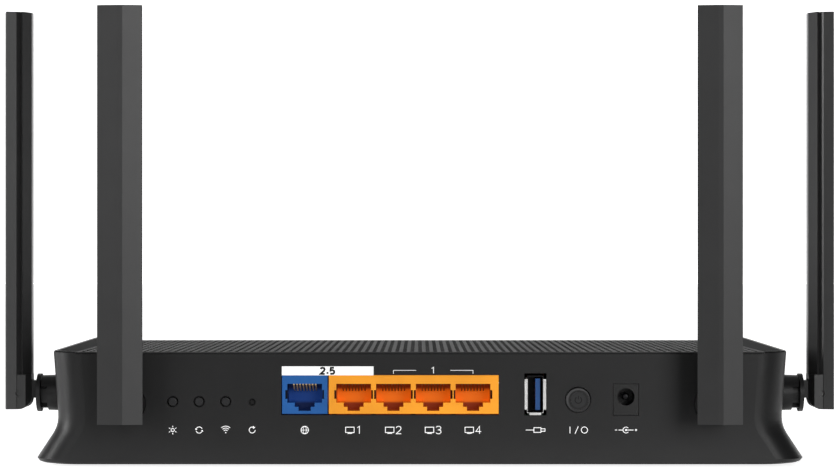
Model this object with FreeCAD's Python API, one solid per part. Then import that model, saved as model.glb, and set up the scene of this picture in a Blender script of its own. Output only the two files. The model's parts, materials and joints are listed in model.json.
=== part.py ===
"""Wireless router: flared plastic case, port row on the rear face, four fold-and-swivel antennas.

Millimetres. +X is to the right seen from the port side, the ports face -Y, +Z is up.
The origin is at the bottom centre of the whole object's box, on the surface that the feet stand on.
Each function makes the solids of one sub-part; the last lines write one STEP file per sub-part.
"""
import FreeCAD, Part
import math
import os

V = FreeCAD.Vector
X_AXIS = V(1, 0, 0)
Y_AXIS = V(0, 1, 0)
Z_AXIS = V(0, 0, 1)
CUT = 1.0                       # how far a cutter runs past the face it opens

# ---- case: driving dimensions ----
FOOT_DROP = 1.0                 # the rubber feet hold the case this far up
CASE_TOP = 40.7                 # height of the side rims over the table
WAIST_HALF = 128.4              # half width at the waist
TOP_FLARE = 1.6                 # how much wider each side is at the top than at the waist
BASE_FLARE = 7.4                # the same at the base
WAIST_DEPTH = 144.6             # rear face to front face at the waist
FRONT_FLARE = 0.6               # the front flares by this share of what the sides do
EDGE_TOP = 2.8                  # where the rounded bottom edge starts
EDGE_IN = 4.5                   # how far the rounded bottom edge draws in
EDGE_STEPS = [FOOT_DROP + 0.25, FOOT_DROP + 0.7]    # levels that the rounded edge is drawn through
REAR_DRAW = 0.6                 # how far the rear face draws in at the very bottom
REAR_DRAW_STEP = 0.25           # the same one level higher
WAIST_LOW = 14.0                # where the flare's straight line would meet the waist
WAIST_HIGH = 19.0               # where the sides start to lean out again
WAIST_BEND = 3.0                # height of the flare's bend, each side of WAIST_LOW
REAR_RADIUS = 11.0              # plan radius of the rear corners
FRONT_RADIUS = 18.0             # plan radius of the front corners
TOP_ROUND = 0.5                 # small break along the top edge: its height
TOP_ROUND_IN = 0.4              # and its width
WALL = 2.2

# ---- antennas: driving dimensions ----
BLADE_LENGTH = 144.0
BLADE_HALF = 7.8
PIN_TO_FRONT = 5.8              # pin axis to the ridge of the outward face
PIN_TO_BACK = 4.1               # pin axis to the inward face
PIN_TO_END = 5.76               # pin axis to the bottom end
BLOCK_TOP = 6.8                 # top of the hinge block over the pin axis
REAR_PIN_OUT = 17.1             # pin axis out from the rear face
REAR_ANTENNA_X = 103.0
REAR_ANTENNA_Z = 22.2
SIDE_PIN_X = 145.3
SIDE_ANTENNA_Z = 24.2
SIDE_ANTENNA_Y = 37.0           # stem axis in from the rear face

# ---- the case's place in the frame ----
BASE_DEPTH = WAIST_DEPTH + FRONT_FLARE * BASE_FLARE
REAR_Y = -(BASE_DEPTH - REAR_PIN_OUT - PIN_TO_FRONT) / 2
PIN_SIDE_Y = REAR_Y + SIDE_ANTENNA_Y

# ---- top panel ----
RIM_WIDTH = 1.0                 # level edge left round the roof's recess
PANEL_HALF = 121.0
RECESS_CORNER = 0.4
RECESS_STEP = 0.6               # front edge of the panel down to the foot of the recess's slopes
POCKET_FLOOR = 37.6
PANEL_REAR_TOP = 40.5
PANEL_FRONT_TOP = 39.3
PANEL_REAR_GAP = 1.7            # rear face to the plate below the panel's rear lip
PANEL_LIP_DROP = 0.35           # thickness of the lip that covers the rear wall's top
PANEL_SEAM = 0.3                # dark seam between that lip and the wall
PANEL_FRONT_GAP = 5.0
PANEL_FIT = 0.15
FRONT_EDGE_TOP = 38.9           # the front wall between the rims ends a little below the panel
RIM_END_RUN = 6.0               # how far the rims' front ends take to slope down to it
CEILING = POCKET_FLOOR - 1.8    # underside of the top cover's roof

# ---- circuit board ----
BOARD_TOP = 18.3
BOARD_THICK = 1.6
BOARD_HALF = 92.0
BOARD_REAR = 2.7                # rear face to the board's rear edge
BOARD_FRONT = 124.0
PLATE_BOTTOM = FOOT_DROP
PLATE_TOP = 3.0                 # inside face of the bottom cover
PLATE_INSET = 3.0               # base outline to the bottom cover's edge
PLATE_FIT = 0.2                 # gap round the bottom cover
BOARD_BOTTOM = BOARD_TOP - BOARD_THICK

# ---- bottom cover, feet, screws and their posts ----
FOOT_XS = (-100.0, 100.0)
FOOT_DEPTHS = (32.0, 122.0)     # in from the rear face
FOOT_RADIUS = 7.0
FOOT_SEAT = 0.6                 # how far each pad is let into the cover
FOOT_FIT = 0.1                  # gap round each pad in its seat
FOOT_ROUND = 0.5
KEYHOLE_X = 75.0
KEYHOLE_DEPTH = 80.0
KEYHOLE_HEAD = 4.5
KEYHOLE_SLOT = 2.25
KEYHOLE_RUN = 9.0
VENT_XS = (-36.0, 36.0)         # centres of the two blocks of slots
VENT_COUNT = 12
VENT_PITCH = 4.4
VENT_HALF = 1.1
VENT_DEPTHS = (40.0, 70.0)
STIFFENER_HALF = 60.0
STIFFENER_DEPTHS = (34.0, 96.0)
STIFFENER_THICK = 1.4
STIFFENER_TALL = 3.0
LABEL_HALF = 32.0
LABEL_DEPTHS = (84.0, 112.0)
LABEL_THICK = 0.15
CASE_SCREW_X = 112.0
CASE_SCREW_DEPTHS = (22.0, 124.0)
CASE_SCREW_TIP = 20.0           # height of the case screws' tips
CASE_NECK = 1.25
CASE_HEAD = 2.7
BOARD_SCREW_X = 84.0
BOARD_SCREW_DEPTHS = (22.0, 112.0)
BOARD_SCREW_TIP = 6.0
BOARD_NECK = 1.2
BOARD_HOLE_ROOM = 0.1           # clearance round a board screw's neck in the board
BOARD_HEAD = 2.6
HEAD_TALL = 0.9
HEAD_SINK = 0.1                 # how far a case screw's head lies under the cover's face
HEAD_ROOM = 0.3                 # clearance round that head
NECK_ROOM = 0.35                # clearance round a case screw's neck in the cover
CROSS_HALF = 0.25               # half width of the cross slot in each head
CROSS_DEEP = 0.5
CROSS_SHARE = 0.6               # the cross's reach as a share of the head's radius
COLUMN_RADIUS = 3.6             # under the roof, round each case screw
COLUMN_FIT = 0.1                # column's foot to the bottom cover
THREAD_TOP = CEILING - 6.0      # top of the hole for each case screw
POST_RADIUS = 3.4               # under the board, round each board screw
BITE = 0.5                      # how far an added post or rib runs into what it stands on
ROOF_RIB_X = 30.0
ROOF_RIB_THICK = 1.2
ROOF_RIB_DROP = 2.0
ROOF_RIB_DEPTHS = (30.0, 120.0)

# ---- parts on the circuit board: distances in from the rear face ----
# Each shield can as (X of its centre, depth of its near side, width, run inwards)
CAN_PLACES = [(-52.0, 62.0, 34.0, 34.0), (0.0, 60.0, 30.0, 30.0), (50.0, 64.0, 36.0, 30.0)]
CAN_HEIGHT = 3.0
CAN_SHEET = 0.3
CHIP_HALF = 8.0
CHIP_TALL = 1.4
PAD_HALF = 11.0
PAD_HEIGHT = 1.2
SPREADER_HALF = 72.0
SPREADER_DEPTHS = (56.0, 100.0)
SPREADER_THICK = 1.6
FIN_PITCH = 9.0
FIN_THICK = 1.0
FIN_COUNT = 17
FIN_GAP = 3.0                   # fins to the roof
MAGNETIC_HALF = 5.5
MAGNETIC_DEPTHS = (22.0, 36.0)
MAGNETIC_TALL = 5.5
CAPACITOR_XS = (52.0, 60.0, 68.0)
CAPACITOR_DEPTH = 26.0
CAPACITOR_RADIUS = 3.1
CAPACITOR_TALL = 9.0
LED_COUNT = 6
LED_PITCH = 10.0
LED_HALF = 0.8
LED_SETBACK = 3.0               # board's front edge to the lights' far side
LENS_HALF = 34.0
LENS_LOW = 20.6
LENS_HIGH = 22.0
LENS_DEEP = 1.5                 # how far the clear bar stands inside the front wall
LENS_SINK = 0.1                 # how far it lies under the front wall's face
GUIDE_ARM_HALF = 1.2

# ---- rear port row: X of each centre, Z of each centre ----
BUTTON_XS = {"led_button": -86.8, "wps_button": -77.5, "wifi_button": -68.2}
BUTTON_Z = 23.1
BUTTON_RADIUS = 1.5
BUTTON_HOLE = 2.0
RESET_X = -58.9
RESET_Z = 22.9
RESET_HOLE = 1.25
JACK_TOP = 32.3
JACK_LOW = 18.8
WAN_LEFT = -48.4                # left and right edges of the two socket blocks
WAN_RIGHT = -32.5
LAN_LEFT = -32.0
LAN_RIGHT = 27.6
WAN_X = -40.5
LAN_FIRST_X = -23.3
PORT_PITCH = 13.97
LAN_COUNT = 4
USB_X = 40.5
USB_Z = 25.6
USB_WINDOW_HALF_W = 3.9
USB_WINDOW_HALF_H = 7.4
POWER_X = 55.5
POWER_Z = 23.7
POWER_CAP = 4.4
POWER_HOLE = 4.55
POWER_PROUD = 1.2
POWER_RING = (2.7, 3.5)         # inner and outer radius of the dished ring in its face
POWER_DISH = 0.35
INLET_X = 72.3
INLET_Z = 24.7
INLET_WIDE = 8.8
INLET_LOW = BOARD_TOP
INLET_TOP = 29.2
FIT = 0.15                      # gap between a port housing and its window
JACK_SHADOW = 0.45              # the wider gap under the network sockets


# ---------------------------------------------------------------- helpers
def box(x0, x1, y0, y1, z0, z1):
    """A block between two corners."""
    return Part.makeBox(x1 - x0, y1 - y0, z1 - z0, V(x0, y0, z0))


def rear_box(x0, x1, depth0, depth1, z0, z1):
    """A block whose Y is given as depth in from the rear face."""
    return box(x0, x1, REAR_Y + depth0, REAR_Y + depth1, z0, z1)


def rod(radius, length, start, axis):
    """A round bar."""
    return Part.makeCylinder(radius, length, start, axis)


def rear_rod(radius, x, z, depth0, depth1):
    """A round bar along Y, its ends given as depth in from the rear face."""
    return rod(radius, depth1 - depth0, V(x, REAR_Y + depth0, z), Y_AXIS)


def post(radius, x, y, z0, z1):
    """An upright round bar."""
    return rod(radius, z1 - z0, V(x, y, z0), Z_AXIS)


def join(shapes):
    """One solid from several that touch or overlap."""
    first, rest = shapes[0], shapes[1:]
    return first.fuse(rest).removeSplitter() if rest else first


def prism(points, direction):
    """A closed outline of points, pushed along a direction."""
    return Part.Face(Part.makePolygon(points + points[:1])).extrude(direction)


def grid(x_list, y_list):
    """Every pair of the two lists."""
    return [(x, y) for x in x_list for y in y_list]


# ---------------------------------------------------------------- case
def side_offset(z):
    """How far the side stands out from the waist at a height."""
    slope = BASE_FLARE / (WAIST_LOW - EDGE_TOP)
    if z >= WAIST_HIGH:
        return TOP_FLARE * (z - WAIST_HIGH) / (CASE_TOP - WAIST_HIGH)
    if z >= WAIST_LOW + WAIST_BEND:
        return 0.0
    if z >= WAIST_LOW - WAIST_BEND:
        return slope * (WAIST_LOW + WAIST_BEND - z) ** 2 / (4 * WAIST_BEND)
    return slope * (WAIST_LOW - max(z, EDGE_TOP))


def edge_draw(z):
    """How far the rounded bottom edge draws in at a height."""
    if z >= EDGE_TOP:
        return 0.0
    share = (EDGE_TOP - z) / (EDGE_TOP - FOOT_DROP)
    return EDGE_IN * (1 - math.sqrt(max(0.0, 1 - share * share)))


def rounded_outline(half, rear, front, rear_r, front_r, z):
    """A rectangle with rounded corners at a height, as four lines and four arcs."""
    diagonal = math.sqrt(0.5)
    corners = [
        (V(half - rear_r, rear + rear_r, z), rear_r, 1, -1),
        (V(half - front_r, front - front_r, z), front_r, 1, 1),
        (V(-half + front_r, front - front_r, z), front_r, -1, 1),
        (V(-half + rear_r, rear + rear_r, z), rear_r, -1, -1),
    ]
    arcs = []
    for number, (centre, r, sx, sy) in enumerate(corners):
        along_x = centre + V(sx * r, 0, 0)
        along_y = centre + V(0, sy * r, 0)
        middle = centre + V(sx * r * diagonal, sy * r * diagonal, 0)
        start, end = (along_y, along_x) if number % 2 == 0 else (along_x, along_y)
        arcs.append((start, middle, end))
    edges = []
    for number, (start, middle, end) in enumerate(arcs):
        edges.append(Part.Arc(start, middle, end).toShape())
        following = arcs[(number + 1) % len(arcs)][0]
        edges.append(Part.LineSegment(end, following).toShape())
    return Part.Wire(edges)


def plan_wire(z, inset=0.0, rear_inset=0.0):
    """The case's outline at a height, drawn in by an inset."""
    half = WAIST_HALF + side_offset(z) - edge_draw(z) - inset
    rear = REAR_Y + rear_inset + inset
    front = REAR_Y + WAIST_DEPTH + FRONT_FLARE * (side_offset(z) - edge_draw(z)) - inset
    return rounded_outline(half, rear, front, REAR_RADIUS - inset, FRONT_RADIUS - inset, z)


def case_block(inset, levels, rear_draw=None):
    """A solid through the case's outlines at several heights."""
    draws = rear_draw or {}
    wires = [plan_wire(z, inset, draws.get(z, 0.0)) for z in levels]
    return Part.makeLoft(wires, True, True)


def outer_block():
    """The whole outside of the case, filled."""
    edge_levels = [FOOT_DROP] + EDGE_STEPS + [EDGE_TOP]
    bend_steps = 6
    bend_levels = [WAIST_LOW - WAIST_BEND + 2 * WAIST_BEND * n / bend_steps for n in range(bend_steps + 1)]
    levels = edge_levels + bend_levels + [WAIST_HIGH, CASE_TOP - TOP_ROUND]
    rear_draw = {FOOT_DROP: REAR_DRAW, EDGE_STEPS[0]: REAR_DRAW_STEP}
    body = case_block(0.0, levels, rear_draw)
    cap_wires = [plan_wire(CASE_TOP - TOP_ROUND), plan_wire(CASE_TOP, TOP_ROUND_IN)]
    return body.fuse(Part.makeLoft(cap_wires, True, True))


def inner_block():
    """The hollow inside the case."""
    bend_levels = [WAIST_LOW - WAIST_BEND, WAIST_LOW, WAIST_LOW + WAIST_BEND]
    hollow = case_block(WALL, [EDGE_TOP] + bend_levels + [WAIST_HIGH, CEILING])
    mouth_wire = plan_wire(EDGE_TOP, PLATE_INSET + EDGE_IN)
    mouth = Part.Face(mouth_wire).extrude(V(0, 0, FOOT_DROP - CUT - EDGE_TOP))
    return hollow.fuse(mouth)


def front_opening():
    """The cutter that lowers the front wall between the rims, with sloping ends."""
    half = PANEL_HALF + PANEL_FIT
    top = CASE_TOP + CUT
    back = REAR_Y + WAIST_DEPTH - PANEL_FRONT_GAP
    slope = RIM_END_RUN / (CASE_TOP - FRONT_EDGE_TOP)
    run = slope * (top - FRONT_EDGE_TOP)
    outline = [V(-half, back, FRONT_EDGE_TOP), V(half, back, FRONT_EDGE_TOP), V(half + run, back, top),
               V(-half - run, back, top)]
    return prism(outline, V(0, PANEL_FRONT_GAP + 2 * CUT, 0))


def pocket_block():
    """The recess in the roof for the ribbed panel: its sides slope down inwards, and both ends are open."""
    rear = REAR_Y + PANEL_REAR_GAP - PANEL_FIT
    front = REAR_Y + WAIST_DEPTH - PANEL_FRONT_GAP + PANEL_FIT
    half = PANEL_HALF + PANEL_FIT
    slope_foot = PANEL_FRONT_TOP - RECESS_STEP
    foot_wire = rounded_outline(half, rear, front, RECESS_CORNER, RECESS_CORNER, slope_foot)
    slope = Part.makeLoft([foot_wire, plan_wire(CASE_TOP, RIM_WIDTH)], True, True)
    floor_wire = rounded_outline(half, rear, front, RECESS_CORNER, RECESS_CORNER, POCKET_FLOOR)
    well = Part.Face(floor_wire).extrude(V(0, 0, slope_foot - POCKET_FLOOR))
    wall_top = PANEL_REAR_TOP - PANEL_LIP_DROP - PANEL_SEAM
    lip_room = box(-half, half, REAR_Y - CUT, REAR_Y + PANEL_REAR_GAP, wall_top, CASE_TOP + CUT)
    return join([slope, well, lip_room, front_opening()])


def screw_posts():
    """Where the four case screws run."""
    return grid([-CASE_SCREW_X, CASE_SCREW_X], [REAR_Y + depth for depth in CASE_SCREW_DEPTHS])


def board_posts():
    """Where the four board screws run."""
    return grid([-BOARD_SCREW_X, BOARD_SCREW_X], [REAR_Y + depth for depth in BOARD_SCREW_DEPTHS])


def port_windows():
    """Openings in the rear wall for the sockets, the buttons, the inlet and the antenna sockets."""
    far = WALL + CUT
    windows = [
        rear_box(WAN_LEFT - 2 * FIT, LAN_RIGHT + FIT, -CUT, far, JACK_LOW - JACK_SHADOW, JACK_TOP + FIT),
        rear_box(USB_X - USB_WINDOW_HALF_W, USB_X + USB_WINDOW_HALF_W, -CUT, far, USB_Z - USB_WINDOW_HALF_H,
                 USB_Z + USB_WINDOW_HALF_H),
        rear_box(INLET_X - INLET_WIDE / 2 - FIT, INLET_X + INLET_WIDE / 2 + FIT, -CUT, far, INLET_LOW - FIT,
                 INLET_TOP + FIT),
        rear_rod(POWER_HOLE, POWER_X, POWER_Z, -CUT, far),
        rear_rod(RESET_HOLE, RESET_X, RESET_Z, -CUT, far),
    ]
    windows += [rear_rod(BUTTON_HOLE, x, BUTTON_Z, -CUT, far) for x in BUTTON_XS.values()]
    return windows


def top_cover():
    """The outer shell: rims, sides, front wall and rear wall in one moulding."""
    shell = outer_block().cut(inner_block()).cut(pocket_block())
    columns = [post(COLUMN_RADIUS, x, y, PLATE_TOP + COLUMN_FIT, CEILING + BITE) for x, y in screw_posts()]
    ribs = []
    for side in (-1, 1):
        x0, x1 = sorted([side * ROOF_RIB_X, side * (ROOF_RIB_X + ROOF_RIB_THICK)])
        near, far = ROOF_RIB_DEPTHS
        ribs.append(rear_box(x0, x1, near, far, CEILING - ROOF_RIB_DROP, CEILING + BITE))
    shell = shell.fuse(columns + ribs)
    cutters = port_windows()
    cutters += [antenna_place(name, socket_bore()) for name in ANTENNAS]
    cutters += [post(CASE_NECK, x, y, PLATE_TOP, THREAD_TOP) for x, y in screw_posts()]
    cutters.append(lens_window())
    return shell.cut(cutters)


def lens_window():
    """The slit in the front wall for the status light guide."""
    front = REAR_Y + WAIST_DEPTH
    half = LENS_HALF + FIT
    return box(-half, half, front - WALL - CUT, front + CUT, LENS_LOW - FIT, LENS_HIGH + FIT)


def top_panel():
    """The ribbed plate in the roof's recess: a lip over the rear wall, and a little lower at the front."""
    rear = REAR_Y + PANEL_REAR_GAP
    front = REAR_Y + WAIST_DEPTH - PANEL_FRONT_GAP
    lip_end = REAR_Y + PANEL_FIT
    side = [
        V(-PANEL_HALF, rear, POCKET_FLOOR),
        V(-PANEL_HALF, front, POCKET_FLOOR),
        V(-PANEL_HALF, front, PANEL_FRONT_TOP),
        V(-PANEL_HALF, lip_end, PANEL_REAR_TOP),
        V(-PANEL_HALF, lip_end, PANEL_REAR_TOP - PANEL_LIP_DROP),
        V(-PANEL_HALF, rear, PANEL_REAR_TOP - PANEL_LIP_DROP),
    ]
    return prism(side, V(2 * PANEL_HALF, 0, 0))


def keyholes():
    """Two cutters for hanging on a wall: a round hole for the screw's head and a slot for its neck."""
    cutters = []
    for side in (-1, 1):
        x = side * KEYHOLE_X
        y = REAR_Y + KEYHOLE_DEPTH
        cutters.append(post(KEYHOLE_HEAD, x, y, 0, PLATE_TOP + CUT))
        cutters.append(box(x - KEYHOLE_SLOT, x + KEYHOLE_SLOT, y, y + KEYHOLE_RUN, 0, PLATE_TOP + CUT))
        cutters.append(post(KEYHOLE_SLOT, x, y + KEYHOLE_RUN, 0, PLATE_TOP + CUT))
    return cutters


def vent_slots():
    """Two blocks of cooling slots through the bottom cover."""
    slots = []
    near, far = VENT_DEPTHS
    for block_x in VENT_XS:
        for number in range(VENT_COUNT):
            x = block_x + (number - (VENT_COUNT - 1) / 2) * VENT_PITCH
            slots.append(rear_box(x - VENT_HALF, x + VENT_HALF, near, far, 0, PLATE_TOP + CUT))
    return slots


def bottom_cover():
    """The base plate with its stiffening lip, posts for the board and seats for the feet."""
    outline = plan_wire(EDGE_TOP, PLATE_INSET + EDGE_IN + PLATE_FIT)
    base = outline.translated(V(0, 0, PLATE_BOTTOM - EDGE_TOP))
    plate = Part.Face(base).extrude(V(0, 0, PLATE_TOP - PLATE_BOTTOM))
    adds = [post(POST_RADIUS, x, y, PLATE_TOP - BITE, BOARD_BOTTOM) for x, y in board_posts()]
    adds += [rear_box(-STIFFENER_HALF, STIFFENER_HALF, depth, depth + STIFFENER_THICK, PLATE_TOP - BITE,
                      PLATE_TOP + STIFFENER_TALL) for depth in STIFFENER_DEPTHS]
    plate = plate.fuse(adds)
    cuts = keyholes() + vent_slots()
    cuts += [post(BOARD_NECK, x, y, PLATE_TOP + 1.0, BOARD_BOTTOM + CUT) for x, y in board_posts()]
    cuts += [post(CASE_NECK + NECK_ROOM, x, y, 0, PLATE_TOP + CUT) for x, y in screw_posts()]
    seat_top = PLATE_BOTTOM + HEAD_TALL + HEAD_SINK
    cuts += [post(CASE_HEAD + HEAD_ROOM, x, y, 0, seat_top) for x, y in screw_posts()]
    cuts += [post(FOOT_RADIUS, x, REAR_Y + depth, 0, PLATE_BOTTOM + FOOT_SEAT)
             for x, depth in grid(FOOT_XS, FOOT_DEPTHS)]
    return plate.cut(cuts)


def rubber_feet():
    """Four round pads with a rounded rim."""
    feet = []
    for x, depth in grid(FOOT_XS, FOOT_DEPTHS):
        pad = post(FOOT_RADIUS - FOOT_FIT, x, REAR_Y + depth, 0, PLATE_BOTTOM + FOOT_SEAT)
        rim = [edge for edge in pad.Edges if edge.BoundBox.ZMax < FOOT_ROUND]
        feet.append(pad.makeFillet(FOOT_ROUND, rim))
    return feet


def rating_plate():
    """A blank label under the case."""
    near, far = LABEL_DEPTHS
    return rear_box(-LABEL_HALF, LABEL_HALF, near, far, PLATE_BOTTOM - LABEL_THICK, PLATE_BOTTOM)


def screw(x, y, head_z, neck_z, up, head_radius, neck_radius):
    """A flat-head screw along Z with a cross slot; up is +1 if its tip points up, -1 if down."""
    head = rod(head_radius, HEAD_TALL, V(x, y, head_z), V(0, 0, up))
    low, high = sorted([head_z + up * HEAD_TALL / 2, neck_z])
    body = head.fuse(post(neck_radius, x, y, low, high))
    bottom, top = sorted([head_z - up * CUT, head_z + up * CROSS_DEEP])
    long_half = head_radius * CROSS_SHARE
    slots = [
        box(x - long_half, x + long_half, y - CROSS_HALF, y + CROSS_HALF, bottom, top),
        box(x - CROSS_HALF, x + CROSS_HALF, y - long_half, y + long_half, bottom, top),
    ]
    return body.cut(slots)


def case_screws():
    """Four screws up through the bottom cover into the top cover's columns."""
    head_z = PLATE_BOTTOM + HEAD_SINK
    return [screw(x, y, head_z, CASE_SCREW_TIP, 1, CASE_HEAD, CASE_NECK) for x, y in screw_posts()]


def board_screws():
    """Four screws down through the board into the bottom cover's posts."""
    head_z = BOARD_TOP + HEAD_TALL
    return [screw(x, y, head_z, BOARD_SCREW_TIP, -1, BOARD_HEAD, BOARD_NECK) for x, y in board_posts()]


# ---------------------------------------------------------------- board and what is on it
def main_board():
    """The circuit board, with holes for its screws."""
    board = rear_box(-BOARD_HALF, BOARD_HALF, BOARD_REAR, BOARD_FRONT, BOARD_BOTTOM, BOARD_TOP)
    hole = BOARD_NECK + BOARD_HOLE_ROOM
    return board.cut([post(hole, x, y, BOARD_BOTTOM - CUT, BOARD_TOP + CUT) for x, y in board_posts()])


def shield_cans():
    """Three stamped lids over the radio and processor sections."""
    cans = []
    for x, depth, wide, deep in CAN_PLACES:
        can = rear_box(x - wide / 2, x + wide / 2, depth, depth + deep, BOARD_TOP, BOARD_TOP + CAN_HEIGHT)
        hollow = rear_box(x - wide / 2 + CAN_SHEET, x + wide / 2 - CAN_SHEET, depth + CAN_SHEET,
                          depth + deep - CAN_SHEET, BOARD_TOP, BOARD_TOP + CAN_HEIGHT - CAN_SHEET)
        cans.append(can.cut(hollow))
    return cans


def board_chips():
    """One square chip under each shield can."""
    chips = []
    for x, depth, wide, deep in CAN_PLACES:
        middle = depth + deep / 2
        chips.append(rear_box(x - CHIP_HALF, x + CHIP_HALF, middle - CHIP_HALF, middle + CHIP_HALF, BOARD_TOP,
                              BOARD_TOP + CHIP_TALL))
    return chips


def thermal_pads():
    """A soft pad on each can that carries its heat to the spreader."""
    pads = []
    low = BOARD_TOP + CAN_HEIGHT
    for x, depth, wide, deep in CAN_PLACES:
        middle = depth + deep / 2
        pads.append(rear_box(x - PAD_HALF, x + PAD_HALF, middle - PAD_HALF, middle + PAD_HALF, low,
                             low + PAD_HEIGHT))
    return pads


def heat_spreader():
    """An aluminium plate over the cans with upright fins."""
    low = BOARD_TOP + CAN_HEIGHT + PAD_HEIGHT
    near, far = SPREADER_DEPTHS
    plate = rear_box(-SPREADER_HALF, SPREADER_HALF, near, far, low, low + SPREADER_THICK)
    fins = []
    for number in range(FIN_COUNT):
        x = FIN_PITCH * number - SPREADER_HALF
        fins.append(rear_box(x, x + FIN_THICK, near, far, low + SPREADER_THICK / 2, CEILING - FIN_GAP))
    return plate.fuse(fins).removeSplitter()


def magnetics():
    """One isolation transformer block behind each network socket."""
    near, far = MAGNETIC_DEPTHS
    return [rear_box(x - MAGNETIC_HALF, x + MAGNETIC_HALF, near, far, BOARD_TOP, BOARD_TOP + MAGNETIC_TALL)
            for x in [WAN_X] + lan_xs()]


def capacitors():
    """Three upright capacitors by the power inlet."""
    y = REAR_Y + CAPACITOR_DEPTH
    return [post(CAPACITOR_RADIUS, x, y, BOARD_TOP, BOARD_TOP + CAPACITOR_TALL) for x in CAPACITOR_XS]


def led_xs():
    """X of the centre of each status light."""
    return [(number - (LED_COUNT - 1) / 2) * LED_PITCH for number in range(LED_COUNT)]


def indicator_leds():
    """Status lights along the board's front edge."""
    near = BOARD_FRONT - LED_SETBACK
    return [rear_box(x - LED_HALF, x + LED_HALF, near, near + 2 * LED_HALF, BOARD_TOP, BOARD_TOP + LED_HALF)
            for x in led_xs()]


def light_guide():
    """The clear bar that carries the status lights to the front wall."""
    front = WAIST_DEPTH + FRONT_FLARE * side_offset(LENS_HIGH)
    lens = rear_box(-LENS_HALF, LENS_HALF, front - WALL - LENS_DEEP, front - LENS_SINK, LENS_LOW, LENS_HIGH)
    near = BOARD_FRONT - LED_SETBACK - LENS_SINK
    arms = [rear_box(x - GUIDE_ARM_HALF, x + GUIDE_ARM_HALF, near, front - WALL - LENS_DEEP + BITE, LENS_LOW,
                     LENS_HIGH) for x in led_xs()]
    return lens.fuse(arms).removeSplitter()


# ---------------------------------------------------------------- network sockets
SOCKET_HALF = 6.1               # half of the plug opening's width
SOCKET_TOP = 29.3
SOCKET_LOW = 22.65
STEP_HALF = 3.5
STEP_LOW = 21.2
LATCH_HALF = 2.15
LATCH_LOW = 19.8
SOCKET_DEPTH = 12.0
JACK_DEPTH = 18.0
EAR_HALF = 6.8                  # half width across the shallow side pockets
EAR_LOW = 24.0
EAR_TOP = 27.1
EAR_DEPTH = 4.0
JACK_SINK = 0.15                # how far the blocks' faces lie behind the rear face
COMB_HALF = 5.4                 # half width of the roof slot that the contacts come through
COMB_START = 0.8                # depth of the slot's front end
COMB_TALL = 1.2
CONTACT_PITCH = 1.1
CONTACT_COUNT = 8
CONTACT_WIDE = 0.5
CONTACT_THICK = 0.35
CONTACT_REACH = 9.0             # depth of the springs' low ends
CONTACT_LOW = 26.3              # height of their low ends
CONTACT_RISE = 0.5              # their upper run over the opening's top
CONTACT_BEND = 1.0              # depth of their front bend
CONTACT_TAIL = 0.8              # how far their tails stand behind the block


def lan_xs():
    """X of the centre of each LAN socket."""
    return [LAN_FIRST_X + PORT_PITCH * n for n in range(LAN_COUNT)]


def socket_cutters(x):
    """The plug's opening: main hole, the latch's two steps, side pockets and the contacts' roof slot."""
    slot_top = SOCKET_TOP + COMB_TALL
    return [
        rear_box(x - SOCKET_HALF, x + SOCKET_HALF, -CUT, SOCKET_DEPTH, SOCKET_LOW, SOCKET_TOP),
        rear_box(x - STEP_HALF, x + STEP_HALF, -CUT, SOCKET_DEPTH, STEP_LOW, SOCKET_LOW + CUT),
        rear_box(x - LATCH_HALF, x + LATCH_HALF, -CUT, SOCKET_DEPTH, LATCH_LOW, STEP_LOW + CUT),
        rear_box(x - EAR_HALF, x + EAR_HALF, -CUT, EAR_DEPTH, EAR_LOW, EAR_TOP),
        rear_box(x - COMB_HALF, x + COMB_HALF, COMB_START, JACK_DEPTH + CUT, SOCKET_TOP - BITE, slot_top),
    ]


def jack_housing(left, right, centres):
    """A moulded socket block that reaches through the rear wall and sits on the board."""
    front = rear_box(left, right, JACK_SINK, JACK_DEPTH, JACK_LOW, JACK_TOP)
    seat = rear_box(left, right, BOARD_REAR + FIT, JACK_DEPTH, BOARD_TOP, JACK_LOW + BITE)
    cutters = [cutter for x in centres for cutter in socket_cutters(x)]
    return front.fuse(seat).cut(cutters)


def contact_outline(x):
    """One spring seen from the side: forward along the roof slot, round, and down into the socket."""
    roof = SOCKET_TOP + CONTACT_RISE
    tail = JACK_DEPTH + CONTACT_TAIL
    bend = CONTACT_BEND
    outline = [
        (tail, BOARD_TOP),
        (tail, roof),
        (bend + 0.5, roof),
        (bend, roof - 0.4),
        (bend + 0.3, roof - 0.9),
        (CONTACT_REACH, CONTACT_LOW),
        (CONTACT_REACH, CONTACT_LOW + CONTACT_THICK),
        (bend + 1.2, roof - CONTACT_THICK - 0.3),
        (bend + 1.4, roof - CONTACT_THICK),
        (tail - CONTACT_THICK, roof - CONTACT_THICK),
        (tail - CONTACT_THICK, BOARD_TOP),
    ]
    return [V(x, REAR_Y + depth, z) for depth, z in outline]


def jack_contacts(centres):
    """Eight spring fingers per socket."""
    fingers = []
    for x in centres:
        for number in range(CONTACT_COUNT):
            mid = x + (number - (CONTACT_COUNT - 1) / 2) * CONTACT_PITCH
            fingers.append(prism(contact_outline(mid - CONTACT_WIDE / 2), V(CONTACT_WIDE, 0, 0)))
    return fingers


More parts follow.
